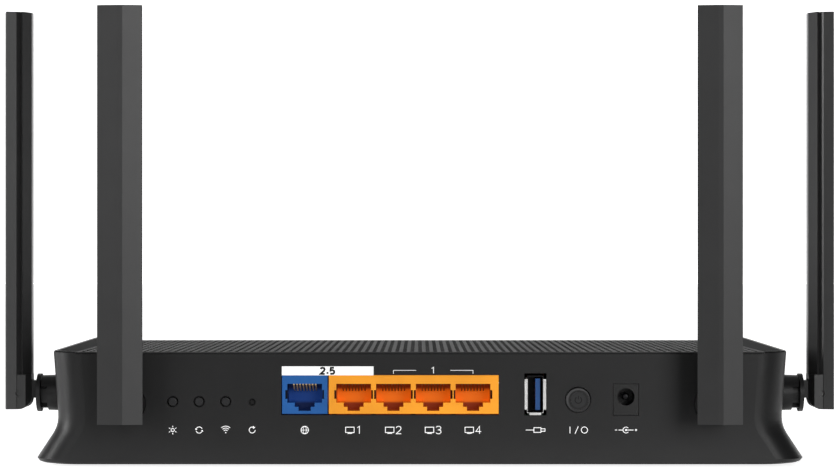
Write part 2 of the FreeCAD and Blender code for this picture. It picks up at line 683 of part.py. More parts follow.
# ---------------------------------------------------------------- USB socket
USB_HALF_W = 2.85
USB_HALF_H = 6.55
USB_SHEET = 0.3
USB_DEPTH = 14.0
USB_LIP = 0.9                   # width of the flared lip at each side
USB_LIP_THICK = 0.4
USB_SIDE_LIP_HALF = 5.35        # half height of the side lips
USB_FOOT_LIP_HALF = 2.05        # half width of the foot lip
USB_FOOT_LIP = 0.7
USB_SINK = 0.2                  # how far the can's mouth lies behind the lips' face
TONGUE_NEAR = 0.05              # tongue's contact face and back, across from the socket's centre
TONGUE_FAR = 1.65
TONGUE_START = 1.2
TONGUE_TALL_HALF = 5.5
BLOCK_FIT = 0.05                # gap between the tongue's block and the can
BLOCK_DEEP = 4.0
PLATING = 0.12
LONG_CONTACT_ZS = (-3.5, -1.0, 1.0, 3.5)
LONG_CONTACT_DEPTHS = (2.6, 9.5)
LONG_CONTACT_HALF = 0.5
SHORT_CONTACT_ZS = (-4.0, -2.0, 0.0, 2.0, 4.0)
SHORT_CONTACT_DEPTHS = (1.4, 2.3)
SHORT_CONTACT_HALF = 0.35


def usb_shell():
    """The folded metal can of the upright socket, with flared lips at its sides and foot."""
    can = rear_box(USB_X - USB_HALF_W, USB_X + USB_HALF_W, USB_SINK, USB_DEPTH, USB_Z - USB_HALF_H,
                   USB_Z + USB_HALF_H)
    side_half = USB_HALF_W + USB_LIP
    lips = [
        rear_box(USB_X - side_half, USB_X + side_half, 0.0, USB_LIP_THICK, USB_Z - USB_SIDE_LIP_HALF,
                 USB_Z + USB_SIDE_LIP_HALF),
        rear_box(USB_X - USB_FOOT_LIP_HALF, USB_X + USB_FOOT_LIP_HALF, 0.0, USB_LIP_THICK,
                 USB_Z - USB_HALF_H - USB_FOOT_LIP, USB_Z),
    ]
    half_w = USB_HALF_W - USB_SHEET
    half_h = USB_HALF_H - USB_SHEET
    inside = rear_box(USB_X - half_w, USB_X + half_w, -CUT, USB_DEPTH - USB_SHEET, USB_Z - half_h,
                      USB_Z + half_h)
    return can.fuse(lips).cut(inside)


def usb_tongue():
    """The blue plastic tongue and the block that carries it."""
    block_start = USB_DEPTH - BLOCK_DEEP
    tongue = rear_box(USB_X + TONGUE_NEAR, USB_X + TONGUE_FAR, TONGUE_START, block_start + CUT,
                      USB_Z - TONGUE_TALL_HALF, USB_Z + TONGUE_TALL_HALF)
    inset = USB_SHEET + BLOCK_FIT
    half_w = USB_HALF_W - inset
    half_h = USB_HALF_H - inset
    block = rear_box(USB_X - half_w, USB_X + half_w, block_start, USB_DEPTH - inset, USB_Z - half_h,
                     USB_Z + half_h)
    return tongue.fuse(block).removeSplitter()


def usb_contacts():
    """Four long flat contacts on the tongue and five short ones nearer its mouth."""
    face = USB_X + TONGUE_NEAR
    rows = [
        (LONG_CONTACT_ZS, LONG_CONTACT_DEPTHS, LONG_CONTACT_HALF),
        (SHORT_CONTACT_ZS, SHORT_CONTACT_DEPTHS, SHORT_CONTACT_HALF),
    ]
    strips = []
    for heights, (near, far), half in rows:
        for z in heights:
            strips.append(rear_box(face - PLATING, face, near, far, USB_Z + z - half, USB_Z + z + half))
    return strips


# ---------------------------------------------------------------- power inlet
INLET_BORE = 3.05
INLET_BORE_DEPTH = 10.0
INLET_DEPTH = 13.0
INLET_SINK = 0.2                # how far its face lies behind the rear face
INLET_PIN = 1.25
INLET_PIN_START = 1.6
INLET_PIN_ROUND = 0.8
SPRING_SLOT_HALF = 1.2
SPRING_SLOT_START = 2.0
SPRING_SLOT_DROP = 1.0          # slot's floor below the bore
SPRING_SLOT_RISE = 0.6          # slot's top over the bore's floor
SPRING_HALF = 1.0
SPRING_THICK = 0.3
SPRING_DEPTHS = (3.0, 9.4)
SPRING_DROP = 0.8               # leaf's underside below the bore
SPRING_FOOT = 0.9


def inlet_housing():
    """The square moulding round the power inlet's bore."""
    half = INLET_WIDE / 2
    block = rear_box(INLET_X - half, INLET_X + half, INLET_SINK, INLET_DEPTH, INLET_LOW, INLET_TOP)
    bore = rear_rod(INLET_BORE, INLET_X, INLET_Z, -CUT, INLET_BORE_DEPTH)
    floor = INLET_Z - INLET_BORE
    left, right = INLET_X - SPRING_SLOT_HALF, INLET_X + SPRING_SLOT_HALF
    slot = rear_box(left, right, SPRING_SLOT_START, INLET_BORE_DEPTH, floor - SPRING_SLOT_DROP,
                    floor + SPRING_SLOT_RISE)
    pin_hole = rear_rod(INLET_PIN, INLET_X, INLET_Z, INLET_BORE_DEPTH - CUT, INLET_DEPTH + CUT)
    return block.cut([bore, slot, pin_hole])


def inlet_pin():
    """The centre pin, with a rounded tip."""
    pin = rear_rod(INLET_PIN, INLET_X, INLET_Z, INLET_PIN_START, INLET_DEPTH)
    tip = [edge for edge in pin.Edges if edge.BoundBox.YMax < REAR_Y + INLET_PIN_START + NEAR_FACE]
    return pin.makeFillet(INLET_PIN_ROUND, tip)


def inlet_spring():
    """The leaf contact in the floor of the bore."""
    low = INLET_Z - INLET_BORE - SPRING_DROP
    left, right = INLET_X - SPRING_HALF, INLET_X + SPRING_HALF
    near, far = SPRING_DEPTHS
    flat = rear_box(left, right, near, far, low, low + SPRING_THICK)
    foot = rear_box(left, right, far - SPRING_THICK, far, low, low + SPRING_FOOT)
    return flat.fuse(foot).removeSplitter()


# ---------------------------------------------------------------- buttons
NEAR_FACE = 0.1                 # edges this close to a face belong to its rim
CAP_SINK = 0.1                  # small caps' faces behind the rear face
CAP_ROUND = 0.25
CAP_DEPTH = 3.0
COLLAR_START = WALL + 0.3       # clearance between a collar and the wall
COLLAR_END = 3.2
BUTTON_COLLAR = 2.7
STUB_RADIUS = 0.9
STUB_END = 4.0
RESET_TIP = 0.85
RESET_START = WALL + 0.4
RESET_END = 4.2
RESET_COLLAR = 1.5
RESET_COLLAR_DEPTHS = (3.2, 4.0)
SWITCH_HALF = 3.0
SWITCH_DEPTHS = (4.5, 8.5)
SWITCH_RISE = 2.6               # switch's top over the buttons' axis
SWITCH_EAR_HALF = 3.6
SWITCH_EAR_DEPTHS = (6.0, 7.5)
SWITCH_EAR_TALL = 1.2
POWER_ROUND = 0.5
POWER_CAP_DEPTH = 3.4
POWER_COLLAR = 5.2
POWER_STUB = 1.6
POWER_STUB_END = 6.0
POWER_SWITCH_HALF = 4.2
POWER_SWITCH_DEPTHS = (8.0, 19.0)
POWER_SWITCH_RISE = 4.0


def push_button(x):
    """A round button: cap in the wall's hole, a collar that keeps it in, and a stub for the switch."""
    cap = rear_rod(BUTTON_RADIUS, x, BUTTON_Z, CAP_SINK, CAP_DEPTH)
    rim = [edge for edge in cap.Edges if edge.BoundBox.YMax < REAR_Y + CAP_SINK + NEAR_FACE]
    cap = cap.makeFillet(CAP_ROUND, rim)
    collar = rear_rod(BUTTON_COLLAR, x, BUTTON_Z, COLLAR_START, COLLAR_END)
    stub = rear_rod(STUB_RADIUS, x, BUTTON_Z, CAP_DEPTH, STUB_END)
    return join([cap, collar, stub])


def reset_plunger():
    """The switch's own plunger, reached with a pin through the small hole."""
    near, far = RESET_COLLAR_DEPTHS
    tip = rear_rod(RESET_TIP, RESET_X, RESET_Z, RESET_START, RESET_END)
    collar = rear_rod(RESET_COLLAR, RESET_X, RESET_Z, near, far)
    return join([tip, collar])


def tact_switch_bodies():
    """Four small switches at the board's rear edge."""
    bodies = []
    near, far = SWITCH_DEPTHS
    ear_near, ear_far = SWITCH_EAR_DEPTHS
    for x in list(BUTTON_XS.values()) + [RESET_X]:
        body = rear_box(x - SWITCH_HALF, x + SWITCH_HALF, near, far, BOARD_TOP, BUTTON_Z + SWITCH_RISE)
        ears = rear_box(x - SWITCH_EAR_HALF, x + SWITCH_EAR_HALF, ear_near, ear_far, BOARD_TOP,
                        BOARD_TOP + SWITCH_EAR_TALL)
        bodies.append(body.fuse(ears).removeSplitter())
    return bodies


def power_button():
    """The large round button with a dished ring in its face."""
    face = -POWER_PROUD
    cap = rear_rod(POWER_CAP, POWER_X, POWER_Z, face, POWER_CAP_DEPTH)
    rim = [edge for edge in cap.Edges if edge.BoundBox.YMax < REAR_Y + face + NEAR_FACE]
    cap = cap.makeFillet(POWER_ROUND, rim)
    inner, outer = [rear_rod(radius, POWER_X, POWER_Z, face - CUT, face + POWER_DISH)
                    for radius in POWER_RING]
    collar = rear_rod(POWER_COLLAR, POWER_X, POWER_Z, COLLAR_START, POWER_CAP_DEPTH)
    stub = rear_rod(POWER_STUB, POWER_X, POWER_Z, POWER_CAP_DEPTH - FIT, POWER_STUB_END)
    return join([cap, collar, stub]).cut(outer.cut(inner))


def power_switch_body():
    """The latching switch behind the power button."""
    near, far = POWER_SWITCH_DEPTHS
    return rear_box(POWER_X - POWER_SWITCH_HALF, POWER_X + POWER_SWITCH_HALF, near, far, BOARD_TOP,
                    POWER_Z + POWER_SWITCH_RISE)


# ---------------------------------------------------------------- antennas
# Each antenna piece is made about its hinge pin with the case towards +Y, then put in its place.
FLANGE_NEAR = 6.1               # pin axis to the stem's flange
FLANGE_THICK = 1.42
FLANGE_RADIUS = 6.92
HUB_RADIUS = 4.5
HUB_RUN = 0.08                  # radial running clearance of the hub in its socket
FLANGE_GAP = 0.4                # running gap between the flange and the boss's mouth
SOCKET_END = FLANGE_NEAR + FLANGE_THICK + FLANGE_GAP
BOSS_RADIUS = 6.35
BOSS_DRAFT = 0.32               # growth of the boss's radius towards the case
BOSS_FIT = 0.1                  # gap round the boss in the case wall
SOCKET_WALL_FACE = 19.4         # pin axis to the socket's inner collar
SOCKET_COLLAR = 2.0
COLLAR_RADIUS = 9.0
STOP_DEPTH = 2.2
STOP_TAB_RADIUS = 5.65
STOP_TAB_HALF = 22.0            # half of the tab's angle, in degrees
STOP_TAB_ROOM = 0.34            # tab's end to the floor of the cut-out
STOP_SLACK = 0.5                # degrees that the stop leaves past the swivel's limit
SWIVEL_LIMIT = 90.0             # degrees
CLIP_THICK = 1.0
CLIP_GAP = 0.3
CLIP_START = SOCKET_WALL_FACE + SOCKET_COLLAR + CLIP_GAP
CLIP_RADIUS = 6.2
CLIP_MOUTH_HALF = 2.6
GROOVE_RADIUS = HUB_RADIUS - 0.8
HUB_END = CLIP_START + CLIP_THICK + 1.2
LEAD_BORE = 1.3
LEAD_BORE_START = 3.0
TONGUE_HALF = 2.8
SLOT_HALF = 3.1
NOSE_RADIUS = 4.0
NECK_TOP = 4.5
NECK_LOW = -1.8
PIN_RADIUS = 1.15
PIN_HALF = 6.2
PIN_FIT = 0.01                  # clearance of the pin in the fork, which it doesn't turn in
PIN_RUN = 0.05                  # clearance of the pin in the stem, which turns on it
NOSE_ROOM = 0.3                 # stem's nose to the bottom of the fork's slot
NECK_ROOM_TOP = 0.4             # stem's neck to the top of that slot
BLADE_TOP = BLADE_LENGTH - PIN_TO_END
# The blade's section, as (across, outward) distances from the pin's axis
FACE_EDGE = (BLADE_HALF, 4.5)
RIDGE_NEAR = (1.0, PIN_TO_FRONT)
RIDGE_FAR = (-0.7, 5.45)
SHELL_SIDE = (7.2, 0.8)         # the shell's drafted side ends here, and the side groove starts
GROOVE_ROOT = (5.8, -0.45)
COVER_SHOULDER = (6.8, -1.4)
COVER_BACK = (2.4, -PIN_TO_BACK)
HOLLOW_HALF = 4.7               # half width of the hollow at the parting line
HOLLOW_PEAK = (0.0, 4.2)        # the hollow's front ridge
HOLLOW_FRONT = (6.0, 3.5)       # its front corner
HOLLOW_BACK_IN = (0.8, 1.1)     # its back corner, in from the cover's back corner
RADIATOR_HALF = 4.2
RADIATOR_OUT = (0.6, -0.2)      # the radiator board's two faces
RADIATOR_LOW = 3.0              # radiator board's foot over the hinge block
RADIATOR_HIGH = 14.0            # its top below the blade's top
BLADE_WALL = 1.4                # thickness of the blade's closed ends
BLOCK_HALF = 7.0                # the hinge block at the blade's foot
BLOCK_FRONT = 3.0
BLOCK_SHOULDER = (BLOCK_HALF, -2.45)
BLOCK_ROUND = 4.2               # radius of its lower back corner
PART_GAP = 0.05                 # clearance between the shell and the cover

ANTENNAS = {
    "left_side": (V(-SIDE_PIN_X, PIN_SIDE_Y, SIDE_ANTENNA_Z), -90.0),
    "left_rear": (V(-REAR_ANTENNA_X, REAR_Y - REAR_PIN_OUT, REAR_ANTENNA_Z), 0.0),
    "right_rear": (V(REAR_ANTENNA_X, REAR_Y - REAR_PIN_OUT, REAR_ANTENNA_Z), 0.0),
    "right_side": (V(SIDE_PIN_X, PIN_SIDE_Y, SIDE_ANTENNA_Z), 90.0),
}


def antenna_place(name, shape):
    """Moves a piece from the pin's own frame to one of the four antennas."""
    pin, turn = ANTENNAS[name]
    placed = shape.copy()
    placed.rotate(V(0, 0, 0), Z_AXIS, turn)
    placed.translate(pin)
    return placed


def blade_prism(outline, z0, z1):
    """A bar from an outline of (across, outward) points, between two heights."""
    return prism([V(across, -outward, z0) for across, outward in outline], V(0, 0, z1 - z0))


def stem_rod(radius, y0, y1):
    """A round bar on the stem's axis."""
    return rod(radius, y1 - y0, V(0, y0, 0), Y_AXIS)


def sector(radius, half_angle, y0, y1):
    """A wedge of a disc round the stem's axis, centred straight down."""
    wedge = Part.makeCylinder(radius, y1 - y0, V(0, y0, 0), Y_AXIS, 2 * half_angle)
    middle = wedge.CenterOfMass
    turn = math.degrees(math.atan2(middle.x, middle.z))
    wedge.rotate(V(0, 0, 0), Y_AXIS, 180.0 - turn)
    return wedge


def both_sides(points):
    """A closed outline from its right-hand points, mirrored to the left."""
    return points + [(-across, outward) for across, outward in reversed(points)]


def block_room():
    """The hinge block's side view as a bar: its lower back corner is a quarter round."""
    low, r = -PIN_TO_END, BLOCK_ROUND
    x = -BLADE_HALF
    start = V(x, PIN_TO_BACK - r, low)
    middle = V(x, PIN_TO_BACK - r + r * math.sqrt(0.5), low + r - r * math.sqrt(0.5))
    end = V(x, PIN_TO_BACK, low + r)
    back_top = V(x, PIN_TO_BACK, BLOCK_TOP)
    corners = [end, back_top, V(x, -PIN_TO_FRONT, BLOCK_TOP), V(x, -PIN_TO_FRONT, low), start]
    edges = [Part.Arc(start, middle, end).toShape()]
    edges += [Part.LineSegment(a, b).toShape() for a, b in zip(corners, corners[1:])]
    return Part.Face(Part.Wire(edges)).extrude(V(2 * BLADE_HALF, 0, 0))


def outer_shell():
    """The blade's outward half with the hinge fork at its foot."""
    sides = both_sides([FACE_EDGE, SHELL_SIDE, GROOVE_ROOT])
    body = blade_prism([RIDGE_FAR, RIDGE_NEAR] + sides, -PIN_TO_END, BLADE_TOP)
    parting = GROOVE_ROOT[1]
    hollow = [HOLLOW_PEAK] + both_sides([HOLLOW_FRONT, (HOLLOW_HALF, 1.0), (HOLLOW_HALF, parting - CUT)])
    body = body.cut(blade_prism(hollow, BLOCK_TOP + BLADE_WALL, BLADE_TOP - BLADE_WALL))
    block = both_sides([(BLOCK_HALF, BLOCK_FRONT), BLOCK_SHOULDER, (SLOT_HALF, -PIN_TO_BACK)])
    foot = blade_prism(block, -PIN_TO_END, BLOCK_TOP).common(block_room())
    slot = box(-SLOT_HALF, SLOT_HALF, -NOSE_RADIUS - NOSE_ROOM, PIN_TO_BACK + CUT, -PIN_TO_END - CUT,
               NECK_TOP + NECK_ROOM_TOP)
    pin_hole = rod(PIN_RADIUS + PIN_FIT, 2 * BLADE_HALF, V(-BLADE_HALF, 0, 0), X_AXIS)
    return body.fuse(foot).removeSplitter().cut([slot, pin_hole])


def inner_cover():
    """The blade's inward half: a lid with a faceted back, whose front edge forms the side grooves."""
    root, parting = GROOVE_ROOT
    lid = both_sides([(root, parting - PART_GAP), COVER_SHOULDER, COVER_BACK])
    low = BLOCK_TOP + PART_GAP
    body = blade_prism(lid, low, BLADE_TOP)
    back_corner = (COVER_BACK[0] - HOLLOW_BACK_IN[0], COVER_BACK[1] + HOLLOW_BACK_IN[1])
    hollow = both_sides([(HOLLOW_HALF, parting + CUT), (HOLLOW_HALF, COVER_SHOULDER[1] + 0.1), back_corner])
    return body.cut(blade_prism(hollow, low + BLADE_WALL, BLADE_TOP - BLADE_WALL))


def radiator_board():
    """The long thin board inside the blade that carries the radiating copper."""
    strip = both_sides([(RADIATOR_HALF, outward) for outward in RADIATOR_OUT])
    return blade_prism(strip, BLOCK_TOP + RADIATOR_LOW, BLADE_TOP - RADIATOR_HIGH)


def hinge_pin():
    """The cross pin, sunk a little below the fork's cheeks."""
    return rod(PIN_RADIUS, 2 * PIN_HALF, V(-PIN_HALF, 0, 0), X_AXIS)


def swivel_stem():
    """The turning stem: nose in the fork, flange, hub in the socket, and a stop tab."""
    nose = rod(NOSE_RADIUS, 2 * TONGUE_HALF, V(-TONGUE_HALF, 0, 0), X_AXIS)
    neck = box(-TONGUE_HALF, TONGUE_HALF, 0, FLANGE_NEAR + BITE, NECK_LOW, NECK_TOP)
    flange = stem_rod(FLANGE_RADIUS, FLANGE_NEAR, FLANGE_NEAR + FLANGE_THICK)
    hub = stem_rod(HUB_RADIUS, FLANGE_NEAR + BITE, HUB_END)
    tab = sector(STOP_TAB_RADIUS, STOP_TAB_HALF, FLANGE_NEAR + BITE, SOCKET_END + STOP_DEPTH - STOP_TAB_ROOM)
    body = join([nose, neck, flange, hub, tab])
    groove = stem_rod(HUB_RADIUS + CUT, CLIP_START, CLIP_START + CLIP_THICK)
    groove = groove.cut(stem_rod(GROOVE_RADIUS, CLIP_START - CUT, CLIP_START + CLIP_THICK + CUT))
    pin_hole = rod(PIN_RADIUS + PIN_RUN, 2 * BLADE_HALF, V(-BLADE_HALF, 0, 0), X_AXIS)
    lead_hole = stem_rod(LEAD_BORE, LEAD_BORE_START, HUB_END + CUT)
    return body.cut([groove, pin_hole, lead_hole])


def stem_clip():
    """The split ring that holds the stem in its socket."""
    end = CLIP_START + CLIP_THICK
    ring = stem_rod(CLIP_RADIUS, CLIP_START, end).cut(stem_rod(GROOVE_RADIUS, CLIP_START - CUT, end + CUT))
    mouth = box(-CLIP_MOUTH_HALF, CLIP_MOUTH_HALF, CLIP_START - CUT, end + CUT, 0, CLIP_RADIUS + CUT)
    return ring.cut(mouth)


def socket_bore():
    """The cutter for the case wall round an antenna socket."""
    return stem_rod(BOSS_RADIUS + BOSS_DRAFT + BOSS_FIT, SOCKET_END, SOCKET_WALL_FACE + BITE)


def antenna_socket():
    """A tapered boss through the wall with a stop cut-out at its mouth and a collar inside."""
    boss = Part.makeCone(BOSS_RADIUS, BOSS_RADIUS + BOSS_DRAFT, SOCKET_WALL_FACE - SOCKET_END,
                         V(0, SOCKET_END, 0), Y_AXIS)
    collar = stem_rod(COLLAR_RADIUS, SOCKET_WALL_FACE, SOCKET_WALL_FACE + SOCKET_COLLAR)
    body = boss.fuse(collar)
    bore = stem_rod(HUB_RADIUS + HUB_RUN, SOCKET_END - CUT, SOCKET_WALL_FACE + SOCKET_COLLAR + CUT)
    sweep_half = SWIVEL_LIMIT + STOP_TAB_HALF + STOP_SLACK
    stop = sector(BOSS_RADIUS + CUT, sweep_half, SOCKET_END - CUT, SOCKET_END + STOP_DEPTH)
    return body.cut([bore, stop])


def antenna_sockets():
    """The four sockets in the case walls."""
    return [antenna_place(name, antenna_socket()) for name in ANTENNAS]


# ---------------------------------------------------------------- antenna leads inside the case
LEAD_RADIUS = 0.6
LEAD_GAP = 0.4                  # lead's end to its stem
PLUG_Z = BOARD_TOP + 1.4
PLUG_X = 75.0
PLUG_RADIUS = 1.6
PLUG_RISE = 0.7                 # plug's top over the lead's axis
BEND_SHARE = 0.45               # share of the shorter of two runs that an arc may take up


def tangent_path(points):
    """Straight runs joined by arcs that are as large as each pair of runs allows."""
    edges = []
    start = points[0]
    for before, corner, after in zip(points, points[1:], points[2:]):
        back = (before - corner).normalize()
        ahead = (after - corner).normalize()
        turn = math.pi - back.getAngle(ahead)
        shorter = min((before - corner).Length, (after - corner).Length)
        trim = BEND_SHARE * shorter
        radius = trim / math.tan(turn / 2)
        arc_start = corner + back * trim
        arc_end = corner + ahead * trim
        bisector = (back + ahead).normalize()
        middle = corner + bisector * (radius / math.cos(turn / 2) - radius)
        edges.append(Part.LineSegment(start, arc_start).toShape())
        edges.append(Part.Arc(arc_start, middle, arc_end).toShape())
        start = arc_end
    edges.append(Part.LineSegment(start, points[-1]).toShape())
    return Part.Wire(edges)


def lead(points):
    """One round lead along a path."""
    path = tangent_path(points)
    first = (points[1] - points[0]).normalize()
    ring = Part.Wire(Part.Circle(points[0], first, LEAD_RADIUS).toShape())
    return path.makePipeShell([ring], True, False)


def lead_routes():
    """Each lead's points, from just behind its stem to its plug on the board."""
    side_x = SIDE_PIN_X - HUB_END - LEAD_GAP
    rear_y = REAR_Y - REAR_PIN_OUT + HUB_END + LEAD_GAP
    routes = []
    for side in (-1, 1):
        routes.append([
            V(side * side_x, PIN_SIDE_Y, SIDE_ANTENNA_Z),
            V(side * (side_x - 9), PIN_SIDE_Y + 1, SIDE_ANTENNA_Z),
            V(side * 101, PIN_SIDE_Y + 9, SIDE_ANTENNA_Z + 1.5),
            V(side * 90, PIN_SIDE_Y + 10, SIDE_ANTENNA_Z - 1.0),
            V(side * 81, PIN_SIDE_Y + 10, PLUG_Z),
            V(side * PLUG_X, PIN_SIDE_Y + 10, PLUG_Z),
        ])
        routes.append([
            V(side * REAR_ANTENNA_X, rear_y, REAR_ANTENNA_Z),
            V(side * (REAR_ANTENNA_X - 0.5), rear_y + 7, REAR_ANTENNA_Z + 0.3),
            V(side * (REAR_ANTENNA_X - 6), rear_y + 15, REAR_ANTENNA_Z + 2.0),
            V(side * 88, rear_y + 21, REAR_ANTENNA_Z + 0.5),
            V(side * 81, rear_y + 21, PLUG_Z),
            V(side * PLUG_X, rear_y + 21, PLUG_Z),
        ])
    return routes


def coax_cables():
    """The four antenna leads."""
    return [lead(points) for points in lead_routes()]


def coax_plugs():
    """The small round board plugs at the leads' ends."""
    plugs = []
    for points in lead_routes():
        end = points[-1]
        centre_x = math.copysign(PLUG_X - PLUG_RADIUS, end.x)
        plugs.append(post(PLUG_RADIUS, centre_x, end.y, BOARD_TOP, PLUG_Z + PLUG_RISE))
    return plugs


# ---------------------------------------------------------------- write every sub-part
def write(name, shape):
    """One STEP file per sub-part; a list becomes a group of separate solids."""
    if isinstance(shape, list):
        shape = Part.makeCompound(shape)
    shape.exportStep(os.path.join("parts", name + ".step"))


FIXED_PIECES = {
    "top_cover": top_cover,
    "top_panel": top_panel,
    "bottom_cover": bottom_cover,
    "rubber_feet": rubber_feet,
    "rating_plate": rating_plate,
    "case_screws": case_screws,
    "board_screws": board_screws,
    "main_board": main_board,
    "shield_cans": shield_cans,
    "board_chips": board_chips,
    "thermal_pads": thermal_pads,
    "heat_spreader": heat_spreader,
    "magnetics": magnetics,
    "capacitors": capacitors,
    "indicator_leds": indicator_leds,
    "light_guide": light_guide,
    "usb_shell": usb_shell,
    "usb_tongue": usb_tongue,
    "usb_contacts": usb_contacts,
    "inlet_housing": inlet_housing,
    "inlet_pin": inlet_pin,
    "inlet_spring": inlet_spring,
    "reset_plunger": reset_plunger,
    "tact_switch_bodies": tact_switch_bodies,
    "power_button": power_button,
    "power_switch_body": power_switch_body,
    "antenna_sockets": antenna_sockets,
    "coax_cables": coax_cables,
    "coax_plugs": coax_plugs,
}

ANTENNA_PIECES = {
    "outer_shell": outer_shell,
    "inner_cover": inner_cover,
    "radiator_board": radiator_board,
    "hinge_pin": hinge_pin,
    "swivel_stem": swivel_stem,
    "stem_clip": stem_clip,
}

os.makedirs("parts", exist_ok=True)
for piece_name, make in FIXED_PIECES.items():
    write(piece_name, make())
write("wan_jack_housing", jack_housing(WAN_LEFT, WAN_RIGHT, [WAN_X]))
write("wan_jack_contacts", jack_contacts([WAN_X]))
write("lan_jack_housing", jack_housing(LAN_LEFT, LAN_RIGHT, lan_xs()))
write("lan_jack_contacts", jack_contacts(lan_xs()))
for button_name, button_x in BUTTON_XS.items():
    write(button_name, push_button(button_x))
for piece_name, make in ANTENNA_PIECES.items():
    made = make()
    for antenna_name in ANTENNAS:
        write(antenna_name + "_" + piece_name, antenna_place(antenna_name, made))
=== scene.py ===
"""Looks of the wireless router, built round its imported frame. Metres, in the frame's own axes."""
import json
import math

import bmesh
import bpy
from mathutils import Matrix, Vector


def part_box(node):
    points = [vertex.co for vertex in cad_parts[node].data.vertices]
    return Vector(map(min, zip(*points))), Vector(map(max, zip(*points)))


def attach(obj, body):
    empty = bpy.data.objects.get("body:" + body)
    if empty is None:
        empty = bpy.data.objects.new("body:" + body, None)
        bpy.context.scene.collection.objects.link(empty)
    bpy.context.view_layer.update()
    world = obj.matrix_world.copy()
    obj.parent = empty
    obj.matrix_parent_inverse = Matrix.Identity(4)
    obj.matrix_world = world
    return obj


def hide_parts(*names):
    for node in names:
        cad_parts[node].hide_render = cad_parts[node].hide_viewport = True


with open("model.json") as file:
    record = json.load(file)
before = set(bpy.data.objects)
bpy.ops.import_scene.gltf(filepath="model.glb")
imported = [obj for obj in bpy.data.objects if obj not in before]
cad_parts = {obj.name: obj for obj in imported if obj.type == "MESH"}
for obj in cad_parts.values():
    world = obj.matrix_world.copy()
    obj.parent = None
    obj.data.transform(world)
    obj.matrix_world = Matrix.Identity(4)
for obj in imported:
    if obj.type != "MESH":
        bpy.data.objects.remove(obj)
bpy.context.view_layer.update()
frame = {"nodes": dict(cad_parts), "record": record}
nodes = frame["nodes"]
MM = 0.001


def middle(node):
    """The centre of a CAD node's box."""
    low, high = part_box(node)
    return (low + high) / 2


# ---------------------------------------------------------------- places worked out from the frame
CASE_LOW, CASE_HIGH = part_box("top_cover")
REAR = CASE_LOW.y                               # the rear face's plane
RIM = CASE_HIGH.z                               # top of the case's rim
PANEL_LOW, PANEL_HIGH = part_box("top_panel")
PORT_PITCH = 13.97 * MM                         # from one wired socket's middle to the next
PORT_COUNT = 4
LAN_FIRST = middle("lan_jack_contacts").x - (PORT_COUNT - 1) / 2 * PORT_PITCH
LAN_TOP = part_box("lan_jack_housing")[1].z
WAN_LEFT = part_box("wan_jack_housing")[0].x
TINY = 0.02 * MM                                # how far printed marks stand out of a face

# ---------------------------------------------------------------- camera
CAMERA_DISTANCE = 0.950                         # from the rear face
CAMERA_HEIGHT = 0.0812
LENS = 116.0
SENSOR = 36.0
CLIP_NEAR = 0.01
CLIP_FAR = 50.0


def make_camera():
    """Level camera straight behind the router, at the height that shows a sliver of its roof."""
    data = bpy.data.cameras.new("camera")
    data.lens = LENS
    data.sensor_width = SENSOR
    data.clip_start = CLIP_NEAR
    data.clip_end = CLIP_FAR
    camera = bpy.data.objects.new("camera", data)
    camera.location = (0.0, REAR - CAMERA_DISTANCE, CAMERA_HEIGHT)
    camera.rotation_euler = (math.radians(90), 0.0, 0.0)
    bpy.context.scene.collection.objects.link(camera)
    bpy.context.scene.camera = camera


# ---------------------------------------------------------------- mesh helpers
SHARPEST_TURN = 0.4                             # keeps a mitre from growing without end
CIRCLE_STEPS = 12                               # sides of a small filled dot


def mesh_object(name, verts, faces, material, smooth=False):
    """A new mesh object with one material."""
    mesh = bpy.data.meshes.new(name)
    mesh.from_pydata([tuple(v) for v in verts], [], faces)
    mesh.update()
    made = bpy.data.objects.new(name, mesh)
    bpy.context.scene.collection.objects.link(made)
    mesh.materials.append(material)
    if smooth:
        for polygon in mesh.polygons:
            polygon.use_smooth = True
    return made


def add_piece(made, body):
    """Lets a piece ride on a body."""
    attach(made, body)


def unit(a, b):
    """The direction from one flat point to another."""
    run = math.hypot(b[0] - a[0], b[1] - a[1]) or 1.0
    return (b[0] - a[0]) / run, (b[1] - a[1]) / run


def polar(radius, degrees):
    """A flat point at an angle round the origin."""
    angle = math.radians(degrees)
    return radius * math.cos(angle), radius * math.sin(angle)


def arc(x, y, radius, start, end, steps):
    """Points along an arc, in degrees."""
    points = []
    for n in range(steps + 1):
        across, up = polar(radius, start + (end - start) * n / steps)
        points.append((x + across, y + up))
    return points


def rectangle(left, right, low, high):
    """Corners of an upright rectangle, counter-clockwise."""
    return [(left, low), (right, low), (right, high), (left, high)]


